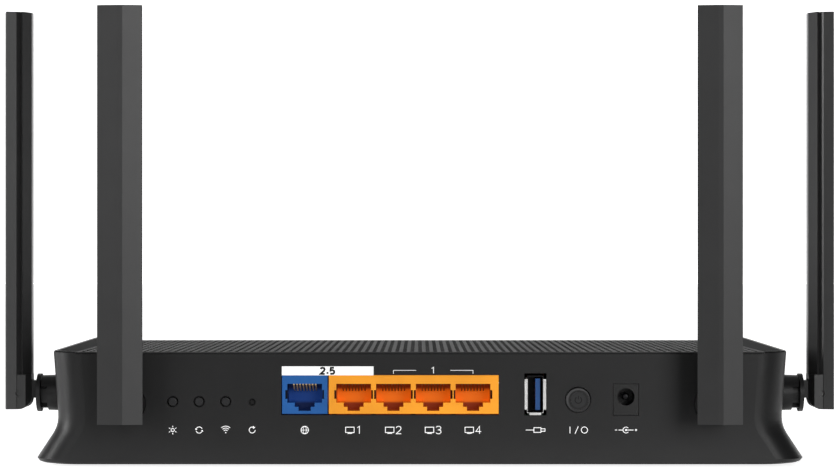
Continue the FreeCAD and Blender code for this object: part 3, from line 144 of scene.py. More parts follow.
class Ink:
    """Gathers flat marks as thin raised prisms on a plane, to become one mesh."""

    def __init__(self, place):
        self.place = place
        self.verts = []
        self.faces = []

    def fill(self, outline):
        """A filled outline of (across, up) points, counter-clockwise, in metres."""
        first = len(self.verts)
        count = len(outline)
        for lift in (-TINY, TINY):
            self.verts += [self.place(across, up, lift) for across, up in outline]
        self.faces.append([first + count + n for n in range(count)])
        for n in range(count):
            after = (n + 1) % count
            self.faces.append([first + n, first + after, first + count + after, first + count + n])

    def stroke(self, points, width, closed=False):
        """A line of even width through points, with square ends and mitred turns."""
        count = len(points)
        lefts, rights = [], []
        for n, point in enumerate(points):
            before = points[n - 1] if n or closed else None
            after = points[(n + 1) % count] if n < count - 1 or closed else None
            ahead = unit(point, after) if after else unit(before, point)
            back = unit(before, point) if before else ahead
            tangent = ((ahead[0] + back[0]) / 2, (ahead[1] + back[1]) / 2)
            size = math.hypot(*tangent) or 1.0
            normal = (-tangent[1] / size, tangent[0] / size)
            reach = width / 2 / max(size, SHARPEST_TURN)
            lefts.append((point[0] + normal[0] * reach, point[1] + normal[1] * reach))
            rights.append((point[0] - normal[0] * reach, point[1] - normal[1] * reach))
        steps = count if closed else count - 1
        for n in range(steps):
            after = (n + 1) % count
            self.fill([rights[n], rights[after], lefts[after], lefts[n]])

    def ring(self, x, radius, width, steps):
        """A circle's line, its centre on the row's middle height."""
        self.stroke(arc(x, 0, radius, 0, 360, steps)[:-1], width, closed=True)

    def dot(self, x, y, radius):
        """A filled circle."""
        self.fill(arc(x, y, radius, 0, 360, CIRCLE_STEPS)[:-1])

    def object(self, name, material):
        """The mesh object of all marks so far."""
        return mesh_object(name, self.verts, self.faces, material)


# ---------------------------------------------------------------- material nodes
NOISE_LOW, NOISE_HIGH = 0.3, 0.7                # most of a noise's values lie between these
EVEN = (1, 1, 1)                                # no stretch
BLOTCH = 60.0                                   # slow colour drift, in cycles per metre
GRAIN = 2500.0                                  # moulded grain, in cycles per metre
GRAIN_DEPTH = 0.02 * MM
GRAIN_DETAIL = 2.0
GRAIN_STRENGTH = 0.5
DRIFT_DETAIL = 3.0
COLOUR_DRIFT = 0.12                             # share a finish's colour drifts either way
GLOSS_DRIFT = 0.1                               # share a finish's roughness drifts either way


def new_material(name):
    """A node material, its tree and its Principled shader."""
    material = bpy.data.materials.new(name)
    material.use_nodes = True
    tree = material.node_tree
    return material, tree, tree.nodes["Principled BSDF"]


def opened(material):
    """A finish's tree, its shader and the output that feeds its colour."""
    tree = material.node_tree
    shader = tree.nodes["Principled BSDF"]
    return tree, shader, shader.inputs["Base Color"].links[0].from_socket


def noise(tree, scale, detail=DRIFT_DETAIL, stretch=EVEN):
    """Noise in the frame's own coordinates, in cycles per metre."""
    place = tree.nodes.new("ShaderNodeTexCoord")
    mapping = tree.nodes.new("ShaderNodeMapping")
    mapping.inputs["Scale"].default_value = stretch
    texture = tree.nodes.new("ShaderNodeTexNoise")
    texture.inputs["Scale"].default_value = scale
    texture.inputs["Detail"].default_value = detail
    tree.links.new(place.outputs["Object"], mapping.inputs["Vector"])
    tree.links.new(mapping.outputs["Vector"], texture.inputs["Vector"])
    return texture.outputs["Fac"]


def spread(tree, value, low, high):
    """Maps a noise's usual values to a range."""
    node = tree.nodes.new("ShaderNodeMapRange")
    node.inputs["From Min"].default_value = NOISE_LOW
    node.inputs["From Max"].default_value = NOISE_HIGH
    node.inputs["To Min"].default_value = low
    node.inputs["To Max"].default_value = high
    tree.links.new(value, node.inputs["Value"])
    return node.outputs["Result"]


def tint(tree, value, dark, light):
    """Blends two colours by a noise's usual values."""
    ramp = tree.nodes.new("ShaderNodeValToRGB")
    ramp.color_ramp.elements[0].position = NOISE_LOW
    ramp.color_ramp.elements[1].position = NOISE_HIGH
    ramp.color_ramp.elements[0].color = (*dark, 1)
    ramp.color_ramp.elements[1].color = (*light, 1)
    tree.links.new(value, ramp.inputs["Fac"])
    return ramp.outputs["Color"]


def bump(tree, shader, height, distance):
    """Fine relief from a height value, in metres."""
    node = tree.nodes.new("ShaderNodeBump")
    node.inputs["Strength"].default_value = GRAIN_STRENGTH
    node.inputs["Distance"].default_value = distance
    tree.links.new(height, node.inputs["Height"])
    tree.links.new(node.outputs["Normal"], shader.inputs["Normal"])


def surface(name, colour, rough, metallic=0.0, vary=COLOUR_DRIFT, grain=GRAIN, depth=GRAIN_DEPTH,
            specular=0.5, blotch=BLOTCH, stretch=EVEN):
    """A moulded or metal finish: slow colour drift, uneven gloss and a fine grain."""
    material, tree, shader = new_material(name)
    slow = noise(tree, blotch)
    dark = tuple(c * (1 - vary) for c in colour)
    light = tuple(min(1.0, c * (1 + vary)) for c in colour)
    tree.links.new(tint(tree, slow, dark, light), shader.inputs["Base Color"])
    fine = noise(tree, grain, GRAIN_DETAIL, stretch)
    least, most = rough * (1 - GLOSS_DRIFT), min(1.0, rough * (1 + GLOSS_DRIFT))
    tree.links.new(spread(tree, fine, least, most), shader.inputs["Roughness"])
    bump(tree, shader, fine, depth)
    shader.inputs["Metallic"].default_value = metallic
    shader.inputs["Specular IOR Level"].default_value = specular
    return material


def ramp_between(tree, value, start, end):
    """A smooth 0 to 1 rise as a value goes from start to end; start may be the larger."""
    node = tree.nodes.new("ShaderNodeMapRange")
    node.interpolation_type = "SMOOTHSTEP"
    node.inputs["From Min"].default_value = start
    node.inputs["From Max"].default_value = end
    tree.links.new(value, node.inputs["Value"])
    return node.outputs["Result"]


def combine(tree, operation, first, second):
    """A maths node on two values; either may be a float."""
    node = tree.nodes.new("ShaderNodeMath")
    node.operation = operation
    for socket, value in zip(node.inputs, (first, second)):
        if isinstance(value, float):
            socket.default_value = value
        else:
            tree.links.new(value, socket)
    return node.outputs["Value"]


def both(tree, *shares):
    """The smallest of several shares: 1 where all of them hold."""
    least = shares[0]
    for share in shares[1:]:
        least = combine(tree, "MINIMUM", least, share)
    return least


def either(tree, first, second):
    """The larger of two shares."""
    return combine(tree, "MAXIMUM", first, second)


def distance_from(tree, value, centre):
    """How far a coordinate is from a value, without its sign."""
    return combine(tree, "ABSOLUTE", combine(tree, "SUBTRACT", value, centre), 0.0)


def blend(tree, share, first, second):
    """Mixes two colours by a share; either may be a colour or a node's output."""
    node = tree.nodes.new("ShaderNodeMix")
    node.data_type = "RGBA"
    tree.links.new(share, node.inputs["Factor"])
    for socket, value in zip((node.inputs["A"], node.inputs["B"]), (first, second)):
        if isinstance(value, tuple):
            socket.default_value = (*value, 1)
        else:
            tree.links.new(value, socket)
    return node.outputs["Result"]


def place_axes(tree):
    """X, Y and Z in the frame, in metres."""
    place = tree.nodes.new("ShaderNodeTexCoord")
    split = tree.nodes.new("ShaderNodeSeparateXYZ")
    tree.links.new(place.outputs["Object"], split.inputs["Vector"])
    return split.outputs["X"], split.outputs["Y"], split.outputs["Z"]


def add_painted_glow(material, strength):
    """Painted light: adds a glow of a share of a finish's own colour, as light plastic and white print look
    under soft light.
    """
    tree, shader, colour = opened(material)
    tree.links.new(colour, shader.inputs["Emission Color"])
    shader.inputs["Emission Strength"].default_value = strength
    return material


# ---------------------------------------------------------------- finishes
# A fade is a (start, end) pair for ramp_between.
# Fades that place painted shade inside the sockets: past the mouth, in the side pockets, under the roof and
# at the latch.
SOCKET_MOUTH = (REAR + 0.2 * MM, REAR + 1.6 * MM)
SOCKET_EAR = (5.9 * MM, 6.3 * MM)               # across from a socket's middle
SOCKET_ROOF = (26.2 * MM, 27.6 * MM)            # heights over the floor
SOCKET_LATCH = (22.9 * MM, 21.6 * MM)
# painted light: how strongly the socket plastic glows
SOCKET_GLOW = 0.28
EAR_SHADE = 0.15                                # share of the shade colour left in the side pockets
FIRST_SOCKET_END = (LAN_FIRST - 9.0 * MM, LAN_FIRST - 8.0 * MM)
# painted shade on the gold contacts past the first socket
CONTACT_SHADE = (0.09, 0.022, 0.005)
# painted shade on the steel deeper inside the openings
SHELL_SHADE = (0.012, 0.012, 0.013)
# painted shade on the USB tongue deep inside its socket
TONGUE_DEPTH = (REAR + 2.5 * MM, REAR + 9.0 * MM)
TONGUE_SHADE = (0.002, 0.003, 0.006)
# Rings round the large cap where a painted highlight and painted shade lie.
CAP_SHOULDER_IN = (3.3 * MM, 3.6 * MM)          # distances from the large cap's middle
CAP_SHOULDER_OUT = (4.5 * MM, 4.1 * MM)
CAP_GROOVE_IN = (2.55 * MM, 2.75 * MM)
CAP_GROOVE_OUT = (3.45 * MM, 3.2 * MM)
CAP_EDGE_IN = (4.05 * MM, 4.25 * MM)
CAP_EDGE_OUT = (5.6 * MM, 5.4 * MM)
CAP_LEAN = (-3.0 * MM, 4.5 * MM)                # along the diagonal to the cap's upper left, where the painted highlight lies
SHOULDER_HIGHLIGHT = (0.055, 0.055, 0.056)
GROOVE_SHADE = (0.0015, 0.0015, 0.0015)
# Where the painted shade on the roof recess's side slopes lies.
SLOPE_ASIDE = (PANEL_HIGH.x + 7.9 * MM, PANEL_HIGH.x + 7.7 * MM)
SLOPE_FOOT = (RIM - 3.2 * MM, RIM - 3.0 * MM)
SLOPE_HEAD = (RIM - 0.03 * MM, RIM - 0.12 * MM)
SLOPE_START = (REAR + 0.5 * MM, REAR + 0.9 * MM)
SLOPE_LIE = (0.15, 0.25)                        # how far up the surface has to face
SLOPE_SHADE = (0.002, 0.002, 0.002)
CLEAR_GLOSS = 0.1
CLEAR_GLOSS_DRIFT = 0.2
CLEAR_DRIFT = 0.05
CLEAR_CLOUDS = 300.0                            # cycles per metre
CLEAR_THROUGH = 0.8
CLEAR_INDEX = 1.49
# painted light: how strongly the white print glows
PRINT_GLOW = 0.35


def socket_plastic(name, face, deep, shade, centre):
    """Moulded socket colour with painted shade inside: darker by depth, in the side pockets, at roof and
    latch; it also carries a painted glow.
    """
    material = surface(name, face, 0.42, specular=0.2)
    tree, shader, plain = opened(material)
    x, y, z = place_axes(tree)
    inside = ramp_between(tree, y, *SOCKET_MOUTH)
    across = combine(tree, "PINGPONG", combine(tree, "SUBTRACT", x, centre), PORT_PITCH / 2)
    ear = ramp_between(tree, across, *SOCKET_EAR)
    dark = either(tree, ramp_between(tree, z, *SOCKET_ROOF), ramp_between(tree, z, *SOCKET_LATCH))
    painted_inside_shade = blend(tree, ear, blend(tree, dark, deep, shade), tuple(EAR_SHADE * c for c in shade))
    tree.links.new(blend(tree, inside, plain, painted_inside_shade), shader.inputs["Base Color"])
    return add_painted_glow(material, SOCKET_GLOW)


def contact_metal(name):
    """Gold contacts: bright in the first socket, with painted shade darkening them in the others."""
    material = surface(name, (0.70, 0.47, 0.22), 0.35, metallic=0.5, grain=6000.0)
    tree, shader, bright = opened(material)
    others = ramp_between(tree, place_axes(tree)[0], *FIRST_SOCKET_END)
    tree.links.new(blend(tree, others, bright, CONTACT_SHADE), shader.inputs["Base Color"])
    return material


def shell_metal(name):
    """Folded steel: bright on the USB shell's flared lips, with painted shade making it dull and dark
    everywhere deeper.
    """
    material = surface(name, (0.78, 0.78, 0.77), 0.30, metallic=0.8, stretch=(1, 1, 12))
    tree, shader, bright = opened(material)
    x, y, z = place_axes(tree)
    low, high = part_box("usb_shell")
    aside = distance_from(tree, x, middle("usb_shell").x)
    side_lip = ramp_between(tree, aside, 2.65 * MM, 2.85 * MM)
    foot_lip = ramp_between(tree, z, low.z + 0.95 * MM, low.z + 0.75 * MM)
    below_top = ramp_between(tree, z, high.z - 1.0 * MM, high.z - 1.3 * MM)
    outside = ramp_between(tree, y, low.y + 0.8 * MM, low.y + 0.5 * MM)
    shown = both(tree, either(tree, side_lip, foot_lip), below_top, outside)
    tree.links.new(blend(tree, shown, SHELL_SHADE, bright), shader.inputs["Base Color"])
    return material


def tongue_plastic(name):
    """The blue tongue, with painted shade: black where it lies deep inside."""
    material = surface(name, (0.022, 0.095, 0.30), 0.38, specular=0.25)
    tree, shader, plain = opened(material)
    deep = ramp_between(tree, place_axes(tree)[1], *TONGUE_DEPTH)
    tree.links.new(blend(tree, deep, plain, TONGUE_SHADE), shader.inputs["Base Color"])
    return material


def cap_plastic(name):
    """Button caps: the large one has a painted highlight on its rounded shoulder, and painted shade in the
    groove in it and at its edge.
    """
    material = surface(name, (0.011, 0.011, 0.012), 0.36, specular=0.4)
    tree, shader, plain = opened(material)
    x, y, z = place_axes(tree)
    centre = middle("power_button")
    across = combine(tree, "SUBTRACT", x, centre.x)
    up = combine(tree, "SUBTRACT", z, centre.z)
    across_squared = combine(tree, "MULTIPLY", across, across)
    up_squared = combine(tree, "MULTIPLY", up, up)
    radius = combine(tree, "SQRT", combine(tree, "ADD", across_squared, up_squared), 0.0)
    shoulder = both(tree, ramp_between(tree, radius, *CAP_SHOULDER_IN),
                    ramp_between(tree, radius, *CAP_SHOULDER_OUT))
    to_upper_left = combine(tree, "SUBTRACT", up, across)
    lit = combine(tree, "MULTIPLY", shoulder, ramp_between(tree, to_upper_left, *CAP_LEAN))
    highlighted = blend(tree, lit, plain, SHOULDER_HIGHLIGHT)
    groove = both(tree, ramp_between(tree, radius, *CAP_GROOVE_IN),
                  ramp_between(tree, radius, *CAP_GROOVE_OUT))
    edge = both(tree, ramp_between(tree, radius, *CAP_EDGE_IN),
                ramp_between(tree, radius, *CAP_EDGE_OUT))
    dark = either(tree, groove, edge)
    tree.links.new(blend(tree, dark, highlighted, GROOVE_SHADE), shader.inputs["Base Color"])
    return material


def case_finish(name):
    """The case's plastic: the recess's side slopes in the roof are left matt, with painted shade making them
    darker.
    """
    material = surface(name, (0.0078, 0.0078, 0.0081), 0.42, specular=0.32)
    tree, shader, plain = opened(material)
    gloss = shader.inputs["Roughness"].links[0].from_socket
    x, y, z = place_axes(tree)
    geometry = tree.nodes.new("ShaderNodeNewGeometry")
    lie = tree.nodes.new("ShaderNodeSeparateXYZ")
    tree.links.new(geometry.outputs["Normal"], lie.inputs["Vector"])
    slope = both(tree,
                 ramp_between(tree, distance_from(tree, x, 0.0), *SLOPE_ASIDE),
                 ramp_between(tree, z, *SLOPE_FOOT),
                 ramp_between(tree, z, *SLOPE_HEAD),
                 ramp_between(tree, y, *SLOPE_START),
                 ramp_between(tree, lie.outputs["Z"], *SLOPE_LIE))
    tree.links.new(blend(tree, slope, plain, SLOPE_SHADE), shader.inputs["Base Color"])
    tree.links.new(either(tree, gloss, slope), shader.inputs["Roughness"])
    return material


def clear_plastic(name, colour):
    """Clear moulded plastic, a little cloudy."""
    material, tree, shader = new_material(name)
    slow = noise(tree, CLEAR_CLOUDS)
    dimmer = tuple(c * (1 - CLEAR_DRIFT) for c in colour)
    tree.links.new(tint(tree, slow, dimmer, colour), shader.inputs["Base Color"])
    least, most = CLEAR_GLOSS * (1 - CLEAR_GLOSS_DRIFT), CLEAR_GLOSS * (1 + CLEAR_GLOSS_DRIFT)
    tree.links.new(spread(tree, slow, least, most), shader.inputs["Roughness"])
    shader.inputs["Transmission Weight"].default_value = CLEAR_THROUGH
    shader.inputs["IOR"].default_value = CLEAR_INDEX
    return material


def case_finishes():
    """Finishes of the case, its buttons, its antennas and the marks printed on it."""
    return {
        "case_plastic": case_finish("case_plastic"),
        "panel_plastic": surface("panel_plastic", (0.050, 0.050, 0.050), 0.72, specular=0.22),
        "base_plastic": surface("base_plastic", (0.009, 0.009, 0.0095), 0.6, depth=0.05 * MM),
        "antenna_plastic": surface("antenna_plastic", (0.0190, 0.0190, 0.0193), 0.38),
        "hinge_plastic": surface("hinge_plastic", (0.008, 0.008, 0.0083), 0.45, specular=0.3),
        "button_plastic": cap_plastic("button_plastic"),
        "foot_rubber": surface("foot_rubber", (0.012, 0.012, 0.012), 0.85, depth=0.06 * MM),
        "label_film": surface("label_film", (0.62, 0.62, 0.61), 0.5),
        "reset_white": surface("reset_white", (0.01, 0.01, 0.01), 0.5),
        "print_white": add_painted_glow(surface("print_white", (0.93, 0.93, 0.93), 0.5, vary=0.02), PRINT_GLOW),
        "print_black": surface("print_black", (0.004, 0.004, 0.004), 0.6, specular=0.2),
    }


def socket_finishes():
    """Finishes of the sockets on the rear face."""
    return {
        "socket_blue": socket_plastic("socket_blue", (0.015, 0.098, 0.320), (0.008, 0.050, 0.250),
                                      (0.003, 0.012, 0.070), middle("wan_jack_housing").x),
        "socket_orange": socket_plastic("socket_orange", (0.86, 0.33, 0.022), (1.0, 0.20, 0.004),
                                        (0.27, 0.030, 0.003), LAN_FIRST),
        "contact_gold": contact_metal("contact_gold"),
        "shell_steel": shell_metal("shell_steel"),
        "usb_blue": tongue_plastic("usb_blue"),
        "inlet_black": surface("inlet_black", (0.008, 0.008, 0.008), 0.33, specular=0.36),
        "pin_steel": surface("pin_steel", (0.05, 0.05, 0.05), 0.35, metallic=0.7),
    }


def inner_finishes():
    """Finishes of the parts inside the case."""
    return {
        "screw_steel": surface("screw_steel", (0.10, 0.10, 0.11), 0.35, metallic=1.0),
        "circuit_board": surface("circuit_board", (0.010, 0.070, 0.030), 0.35, blotch=400.0),
        "can_steel": surface("can_steel", (0.62, 0.61, 0.60), 0.30, metallic=1.0, stretch=(1, 12, 1)),
        "chip_black": surface("chip_black", (0.012, 0.012, 0.012), 0.55),
        "thermal_pad": surface("thermal_pad", (0.22, 0.30, 0.42), 0.8),
        "spreader_aluminium": surface("spreader_aluminium", (0.75, 0.75, 0.76), 0.35, metallic=1.0,
                                      stretch=(1, 15, 1)),
        "capacitor_can": surface("capacitor_can", (0.06, 0.06, 0.09), 0.35, metallic=0.6),
        "led_clear": clear_plastic("led_clear", (0.85, 0.95, 0.85)),
        "light_guide_clear": clear_plastic("light_guide_clear", (0.92, 0.92, 0.92)),
        "lead_jacket": surface("lead_jacket", (0.015, 0.015, 0.015), 0.5),
        "clip_steel": surface("clip_steel", (0.5, 0.5, 0.5), 0.3, metallic=1.0),
    }


def dress_nodes(finishes):
    """Gives each CAD node its slot's material."""
    for part in frame["record"]["subparts"]:
        node = nodes[part["node"]]
        node.data.materials.clear()
        node.data.materials.append(finishes[part["material_slot"]])


# ---------------------------------------------------------------- ribbed roof panel
PANEL_FALL = 1.2 * MM                           # the panel's top falls this much to its front
PANEL_LIP = 0.35 * MM                           # thickness of the lip over the rear wall
PANEL_LIP_RUN = 1.55 * MM
RIB_PITCH = 2.7 * MM
POCKET_HALF = 0.76 * MM                         # half a pocket's width
POCKET_DEPTH = 0.8 * MM
POCKET_RUN = 9.0 * MM
SHORTEST_POCKET = 1.5 * MM
BRIDGE_RUN = 1.6 * MM                           # between two pockets of a row
PANEL_MARGIN = 1.1 * MM
POCKET_BREAK = 0.12 * MM                        # chamfer round each pocket's mouth
SAME_PLACE = 0.002 * MM                         # corners closer than this are joined


class Sheet:
    """Gathers faces by their corners, to become one mesh."""

    def __init__(self):
        self.verts = []
        self.faces = []

    def face(self, *points):
        """One face through its corners."""
        self.faces.append(list(range(len(self.verts), len(self.verts) + len(points))))
        self.verts.extend(points)


def panel_top(y):
    """Height of the panel's top surface."""
    share = (y - PANEL_LOW.y) / (PANEL_HIGH.y - PANEL_LOW.y)
    return PANEL_HIGH.z - PANEL_FALL * share


def pocket_spans(shift):
    """The pockets of one row, as (start, end) along Y, its steps moved back by a share of one."""
    step = POCKET_RUN + BRIDGE_RUN
    first = PANEL_LOW.y + PANEL_MARGIN
    last = PANEL_HIGH.y - PANEL_MARGIN
    spans = []
    y = first - shift * step
    while y < last:
        start, end = max(first, y), min(last, y + POCKET_RUN)
        if end - start > SHORTEST_POCKET:
            spans.append((start, end))
        y += step
    return spans


def panel_flat(sheet, x0, x1, y0, y1):
    """A flat stretch of the panel's top."""
    sheet.face(*[(x, y, panel_top(y)) for x, y in rectangle(x0, x1, y0, y1)])


def panel_pocket(sheet, x0, x1, y0, y1):
    """One pocket: a chamfered mouth, four walls and a floor."""
    rings = []
    for inset, drop in ((0, 0), (POCKET_BREAK, POCKET_BREAK), (POCKET_BREAK, POCKET_DEPTH)):
        corners = rectangle(x0 + inset, x1 - inset, y0 + inset, y1 - inset)
        rings.append([(x, y, panel_top(y) - drop) for x, y in corners])
    for upper, lower in zip(rings, rings[1:]):
        for n in range(4):
            after = (n + 1) % 4
            sheet.face(upper[n], upper[after], lower[after], lower[n])
    sheet.face(*rings[-1])


def panel_ribs(sheet):
    """The panel's top: rows of pockets with ribs between them, every second row shifted half a step."""
    half = PANEL_HIGH.x
    rear, front = PANEL_LOW.y, PANEL_HIGH.y
    rows = int((half - PANEL_MARGIN - POCKET_HALF) / RIB_PITCH)
    rib_start = -half
    for row in range(-rows, rows + 1):
        left, right = row * RIB_PITCH - POCKET_HALF, row * RIB_PITCH + POCKET_HALF
        panel_flat(sheet, rib_start, left, rear, front)
        y = rear
        for start, end in pocket_spans(0.5 * (row % 2)):
            panel_flat(sheet, left, right, y, start)
            panel_pocket(sheet, left, right, start, end)
            y = end
        panel_flat(sheet, left, right, y, front)
        rib_start = right
    panel_flat(sheet, rib_start, half, rear, front)


def panel_underside(sheet):
    """The panel's edges and underside, with the lip that lies over the rear wall."""
    half = PANEL_HIGH.x
    rear, front = PANEL_LOW.y, PANEL_HIGH.y
    low = PANEL_LOW.z
    lip_low = PANEL_HIGH.z - PANEL_LIP
    step = rear + PANEL_LIP_RUN
    profile = [(rear, lip_low), (rear, panel_top(rear)), (front, panel_top(front)), (front, low), (step, low),
               (step, lip_low)]
    for n, (y, z) in enumerate(profile):
        after_y, after_z = profile[(n + 1) % len(profile)]
        is_top = n == 1
        if not is_top:
            sheet.face((-half, y, z), (half, y, z), (half, after_y, after_z), (-half, after_y, after_z))
    for side in (-1, 1):
        sheet.face(*[(side * half, y, z) for y, z in profile][::side])


def ribbed_panel(material):
    """The roof panel: long ribs between rows of narrow pockets, staggered row by row."""
    sheet = Sheet()
    panel_ribs(sheet)
    panel_underside(sheet)
    panel = mesh_object("ribbed_panel", sheet.verts, sheet.faces, material)
    joined = bmesh.new()
    joined.from_mesh(panel.data)
    bmesh.ops.remove_doubles(joined, verts=joined.verts, dist=SAME_PLACE)
    bmesh.ops.recalc_face_normals(joined, faces=joined.faces)
    joined.to_mesh(panel.data)
    joined.free()
    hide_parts("top_panel")
    add_piece(panel, "case")


# ---------------------------------------------------------------- printed marks
LINE = 0.24 * MM
THIN = LINE * 0.7
MARK_Z = 13.1 * MM                              # height of the row of printed marks
MARK_TALL = 2.6 * MM
SCREEN_WIDE = MARK_TALL * 1.15
SCREEN_TALL = MARK_TALL * 0.72
SCREEN_GAP = 0.8 * MM                           # from a screen mark to its numeral
DIGIT_WIDE = 0.7                                # a numeral's width, as a share of its height
DIGIT_STEP = 0.98                               # run from one numeral to the next, as a share of the height
DIGIT_GAP = 0.25                                # what that run leaves free after the last numeral
DOT_STEP = 0.30
DIGITS = {                                      # strokes in shares of the height
    "1": [[(.1, .8), (.4, 1), (.4, 0)]],
    "2": [[(0, .78), (.1, .95), (.35, 1), (.6, .92), (.65, .7), (.55, .5), (0, 0), (.68, 0)]],
    "3": [[(0, .88), (.2, 1), (.5, 1), (.65, .85), (.62, .62), (.3, .52), (.62, .44), (.68, .2), (.5, 0),
           (.18, 0), (0, .12)]],
    "4": [[(.5, 0), (.5, 1), (0, .3), (.72, .3)]],
    "5": [[(.62, 1), (.08, 1), (.04, .55), (.35, .63), (.6, .5), (.66, .28), (.5, .04), (.2, 0), (0, .1)]],
}


def on_rear(x, z):
    """Places flat marks on the rear face, centred at a point: across is +X, up is +Z."""
    return lambda across, up, lift: (x + across, REAR - lift, z + up)


def write_digits(ink, text, left, low, tall, width):
    """Numerals drawn with strokes."""
    at = left
    for character in text:
        if character == ".":
            ink.stroke([(at, low + width / 2), (at + width, low + width / 2)], width)
            at += DOT_STEP * tall + width
            continue
        for line in DIGITS[character]:
            ink.stroke([(at + px * tall, low + py * tall) for px, py in line], width)
        at += DIGIT_STEP * tall


def digits_width(text, tall, width):
    """How wide the numerals come out."""
    steps = [DOT_STEP * tall + width if c == "." else DIGIT_STEP * tall for c in text]
    return sum(steps) - DIGIT_GAP * tall


def mark_light(ink):
    """A small lamp with rays."""
    lamp = MARK_TALL * 0.22
    near = lamp + LINE * 1.7
    far = lamp + LINE * 3.9
    rays = 6
    ink.ring(0, lamp, LINE, 16)
    for n in range(rays):
        turn = 360 / rays * n + 30
        ink.stroke([polar(near, turn), polar(far, turn)], LINE)


def mark_pairing(ink):
    """Two arrows chasing each other round a circle."""
    radius = MARK_TALL * 0.42
    head = MARK_TALL * 0.17
    for turn in (0, 180):
        ink.stroke(arc(0, 0, radius, turn + 20, turn + 150, 12), LINE)
        x, y = polar(radius, turn + 155)
        out_x, out_y = polar(head, turn + 155)
        point = (x - out_y * 1.3, y + out_x * 1.3)
        ink.fill([point, (x - out_x, y - out_y), (x + out_x, y + out_y)])


def mark_radio(ink):
    """A dot with three arcs over it."""
    low = LINE - MARK_TALL * 0.45
    ink.dot(0, low, LINE * 0.9)
    for n in range(1, 4):
        ink.stroke(arc(0, low, MARK_TALL * (0.1 + 0.26 * n), 48, 132, 10), LINE)


def mark_reset(ink):
    """One arrow turning back on itself."""
    radius = MARK_TALL * 0.40
    head = MARK_TALL * 0.2
    start = 60
    ink.stroke(arc(0, 0, radius, start, 360, 20), LINE)
    x, y = polar(radius, start)
    ink.fill([(x + head * 1.1, y - head * 0.1), (x - head * 0.4, y + head * 1.1), (x - head * 0.5, y - head)])


def mark_globe(ink):
    """A globe with its meridians."""
    radius = MARK_TALL * 0.5
    outline = arc(0, 0, radius, 0, 360, 24)[:-1]
    ink.stroke(outline, LINE, closed=True)
    ink.stroke([(0.42 * x, y) for x, y in outline], THIN, closed=True)
    ink.stroke([(-radius, 0), (radius, 0)], THIN)


def mark_screen(ink, left):
    """A small screen on a stand, for the wired sockets."""
    low = LINE * 1.8 - MARK_TALL * 0.5
    stand = low - LINE * 1.3
    stand_half = SCREEN_WIDE * 0.28
    centre = left + SCREEN_WIDE / 2
    ink.stroke(rectangle(left, left + SCREEN_WIDE, low, low + SCREEN_TALL), LINE, closed=True)
    ink.stroke([(centre - stand_half, stand), (centre + stand_half, stand)], LINE)


def mark_plug(ink):
    """A flat connector on its lead, for the accessory socket."""
    back, front, tip = -0.2 * MARK_TALL, 0.75 * MARK_TALL, 1.3 * MARK_TALL
    body, tongue = 0.32 * MARK_TALL, 0.17 * MARK_TALL
    ink.stroke(rectangle(back, front, -body, body), LINE, closed=True)
    ink.stroke([(front, -tongue), (tip, -tongue), (tip, tongue), (front, tongue)], LINE)
    ink.stroke([(back, 0), (-tip, 0)], LINE)


def mark_switch(ink):
    """A line and a ring, with a stroke between them: on and off."""
    bar, ring = -1.1 * MARK_TALL, 0.85 * MARK_TALL
    ink.stroke([(bar, -0.45 * MARK_TALL), (bar, 0.45 * MARK_TALL)], LINE)
    ink.stroke([(-0.42 * MARK_TALL, -0.5 * MARK_TALL), (0.02 * MARK_TALL, 0.5 * MARK_TALL)], LINE)
    ink.ring(ring, 0.42 * MARK_TALL, LINE, 20)


def mark_polarity(ink):
    """The inlet's centre-positive sign."""
    dot, ring = 0.14 * MARK_TALL, 0.4 * MARK_TALL
    lead, sign_near, sign_far = MARK_TALL, 1.2 * MARK_TALL, 1.5 * MARK_TALL
    plus, plus_half = 1.35 * MARK_TALL, 0.15 * MARK_TALL
    ink.dot(0, 0, dot)
    ink.stroke(arc(0, 0, ring, 40, 320, 18), LINE)
    ink.stroke([(dot, 0), (lead, 0)], LINE)
    ink.stroke([(-ring, 0), (-lead, 0)], LINE)
    for side in (-1, 1):
        ink.stroke([(side * sign_near, 0), (side * sign_far, 0)], LINE)
    ink.stroke([(plus, -plus_half), (plus, plus_half)], LINE)


def lan_x(number):
    """Middle of a wired socket, counted from 0."""
    return LAN_FIRST + number * PORT_PITCH


def label_marks(white):
    """The row of small signs under the sockets and buttons."""
    places = {
        "light_mark": ("led_button", mark_light),
        "pairing_mark": ("wps_button", mark_pairing),
        "radio_mark": ("wifi_button", mark_radio),
        "reset_mark": ("reset_plunger", mark_reset),
        "globe_mark": ("wan_jack_housing", mark_globe),
        "plug_mark": ("usb_shell", mark_plug),
        "switch_mark": ("power_button", mark_switch),
        "polarity_mark": ("inlet_housing", mark_polarity),
    }
    for name, (node, draw) in places.items():
        ink = Ink(on_rear(middle(node).x, MARK_Z))
        draw(ink)
        add_piece(ink.object(name, white), "case")
    left = -(SCREEN_WIDE + SCREEN_GAP + MARK_TALL * DIGIT_WIDE) / 2
    for number in range(PORT_COUNT):
        ink = Ink(on_rear(lan_x(number), MARK_Z))
        mark_screen(ink, left)
        write_digits(ink, str(number + 1), left + SCREEN_WIDE + SCREEN_GAP, -MARK_TALL / 2, MARK_TALL, LINE)
        add_piece(ink.object(f"socket_mark_{number + 1}", white), "case")


# ---------------------------------------------------------------- speed marks and power symbol
BOLD = 0.66 * MM
PLATE_OVER = 0.1 * MM                           # how far the strip reaches past the first socket
PLATE_TALL = 3.15 * MM
SPEED_TALL = 2.15 * MM                          # height of the speed numerals
SPEED = "2.5"
BRACKET_UP = 1.75 * MM                          # bracket's line above the housings
BRACKET_TICK = 1.2 * MM
BRACKET_GAP = 6.0 * MM                          # half the break round the bracket's numeral
POWER_RADIUS = 1.15 * MM
POWER_LINE = 0.28 * MM
POWER_BAR = (0.25 * MM, 1.45 * MM)              # the bar's ends above the cap's middle


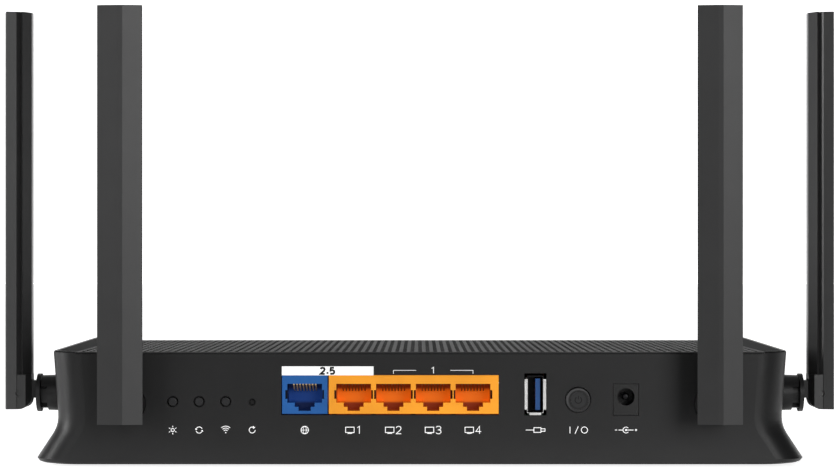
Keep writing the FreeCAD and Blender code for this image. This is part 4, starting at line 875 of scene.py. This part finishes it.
def speed_marks(white, black):
    """The white strip over the two fast sockets and the bracket over the other three."""
    left = WAN_LEFT - PLATE_OVER
    right = LAN_FIRST + PORT_PITCH / 2
    low = LAN_TOP
    plate = Ink(on_rear(0, 0))
    plate.fill(rectangle(left, right, low, low + PLATE_TALL))
    add_piece(plate.object("speed_plate", white), "case")
    digits = Ink(lambda across, up, lift: (across, REAR - lift - TINY, up))
    start = (left + right) / 2 - digits_width(SPEED, SPEED_TALL, BOLD) / 2
    write_digits(digits, SPEED, start, low + (PLATE_TALL - SPEED_TALL) / 2, SPEED_TALL, BOLD)
    add_piece(digits.object("speed_plate_digits", black), "case")
    bracket = Ink(on_rear(0, 0))
    height = low + BRACKET_UP
    centre = lan_x(2)
    for end, side in ((lan_x(1), -1), (lan_x(3), 1)):
        inner = centre + side * BRACKET_GAP
        bracket.stroke([(end, height - BRACKET_TICK), (end, height), (inner, height)], THIN)
    numeral_left = centre - DIGIT_WIDE / 2 * SPEED_TALL
    write_digits(bracket, "1", numeral_left, height - SPEED_TALL / 2, SPEED_TALL, LINE)
    add_piece(bracket.object("speed_bracket", white), "case")


def power_symbol(black):
    """The broken ring and bar on the power button's cap."""
    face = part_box("power_button")[0].y
    centre = middle("power_button")
    ink = Ink(lambda across, up, lift: (centre.x + across, face - lift, centre.z + up))
    ink.stroke(arc(0, 0, POWER_RADIUS, 125, 415, 22), POWER_LINE)
    ink.stroke([(0, height) for height in POWER_BAR], POWER_LINE)
    add_piece(ink.object("power_symbol", black), "power_button")


# ---------------------------------------------------------------- stage
WORLD_LIGHT = 0.09
FLOOR_PALE, FLOOR_PALER = (0.84, 0.84, 0.84), (0.86, 0.86, 0.86)
FLOOR_DRIFT = 3.0                               # cycles per metre
FLOOR_ROUGH = 0.9
FLOOR_GLOW = 0.85
FLOOR_GLOW_START, FLOOR_GLOW_FULL = REAR - 0.06, REAR - 0.018
FLOOR_REACH = 6.0
BACKDROP_PALE = (0.9, 0.9, 0.9, 1)
BACKDROP_GLOW = 1.05
BACKDROP_HALF = 4.5
BACKDROP_FAR = 3.6                              # where it leaves the floor, beyond any view's camera
BACKDROP_CURVE = 0.6
BACKDROP_TOP = 3.4
BACKDROP_LIFT = 0.001
WHITE = (1, 1, 1, 1)


def add_light(name, place, target, size_x, size_y, power):
    """A soft rectangular light aimed at a point."""
    data = bpy.data.lights.new(name, "AREA")
    data.shape = "RECTANGLE"
    data.size = size_x
    data.size_y = size_y
    data.energy = power
    light = bpy.data.objects.new(name, data)
    light.location = place
    light.rotation_euler = (Vector(target) - Vector(place)).to_track_quat("-Z", "Y").to_euler()
    bpy.context.scene.collection.objects.link(light)


def from_rear(azimuth, distance, height):
    """A place round the router: azimuth 0 is behind it, towards the camera, and grows towards +X."""
    angle = math.radians(azimuth)
    return (distance * math.sin(angle), REAR - distance * math.cos(angle), height)


def make_floor():
    """A pale floor, lit from within from just before the rear face on, for a pure white ground."""
    plain, tree, shader = new_material("floor_paper")
    paper = tint(tree, noise(tree, FLOOR_DRIFT), FLOOR_PALE, FLOOR_PALER)
    tree.links.new(paper, shader.inputs["Base Color"])
    shader.inputs["Roughness"].default_value = FLOOR_ROUGH
    shader.inputs["Emission Color"].default_value = WHITE
    lit = ramp_between(tree, place_axes(tree)[1], FLOOR_GLOW_START, FLOOR_GLOW_FULL)
    tree.links.new(combine(tree, "MULTIPLY", lit, FLOOR_GLOW), shader.inputs["Emission Strength"])
    corners = [(x, y, 0) for x, y in rectangle(-FLOOR_REACH, FLOOR_REACH, -FLOOR_REACH, FLOOR_REACH)]
    mesh_object("floor", corners, [[0, 1, 2, 3]], plain)


def make_backdrop():
    """A plain bright backdrop beyond the router, curving up from the floor."""
    glow, tree, shader = new_material("backdrop_glow")
    shader.inputs["Base Color"].default_value = BACKDROP_PALE
    shader.inputs["Emission Color"].default_value = WHITE
    shader.inputs["Emission Strength"].default_value = BACKDROP_GLOW
    profile = arc(BACKDROP_FAR, BACKDROP_CURVE, BACKDROP_CURVE, -90, 0, 9)
    profile.append((BACKDROP_FAR + BACKDROP_CURVE, BACKDROP_TOP))
    verts, faces = [], []
    for y, z in profile:
        verts += [(-BACKDROP_HALF, y, z + BACKDROP_LIFT), (BACKDROP_HALF, y, z + BACKDROP_LIFT)]
    for n in range(len(profile) - 1):
        faces.append([2 * n, 2 * n + 1, 2 * n + 3, 2 * n + 2])
    mesh_object("backdrop", verts, faces, glow, smooth=True)


def make_world():
    """A dim grey room."""
    world = bpy.data.worlds.new("studio")
    world.use_nodes = True
    bpy.context.scene.world = world
    background = world.node_tree.nodes["Background"]
    background.inputs["Color"].default_value = WHITE
    background.inputs["Strength"].default_value = WORLD_LIGHT


def make_lights():
    """Soft lights: over the roof, over the camera, at both sides of it, and a strip far to the left."""
    aim = (0, REAR, 0.08)
    add_light("top_soft", (0, 0.25, 1.7), (0, 0.15, 0), 1.6, 1.3, 3.0)
    add_light("front_soft", from_rear(-6, 3.0, 1.7), aim, 2.4, 0.8, 5.0)
    add_light("right_soft", from_rear(21, 3.0, 0.50), aim, 1.1, 1.5, 34.0)
    add_light("left_soft", from_rear(-26, 3.0, 0.50), aim, 1.2, 1.5, 11.0)
    add_light("left_strip", from_rear(-84, 1.3, 0.31), aim, 0.35, 0.6, 8.5)


make_camera()
finishes = {**case_finishes(), **socket_finishes(), **inner_finishes()}
dress_nodes(finishes)
ribbed_panel(finishes["panel_plastic"])
label_marks(finishes["print_white"])
speed_marks(finishes["print_white"], finishes["print_black"])
power_symbol(finishes["print_black"])
make_floor()
make_backdrop()
make_world()
make_lights()
bpy.context.scene.view_settings.view_transform = "Standard"
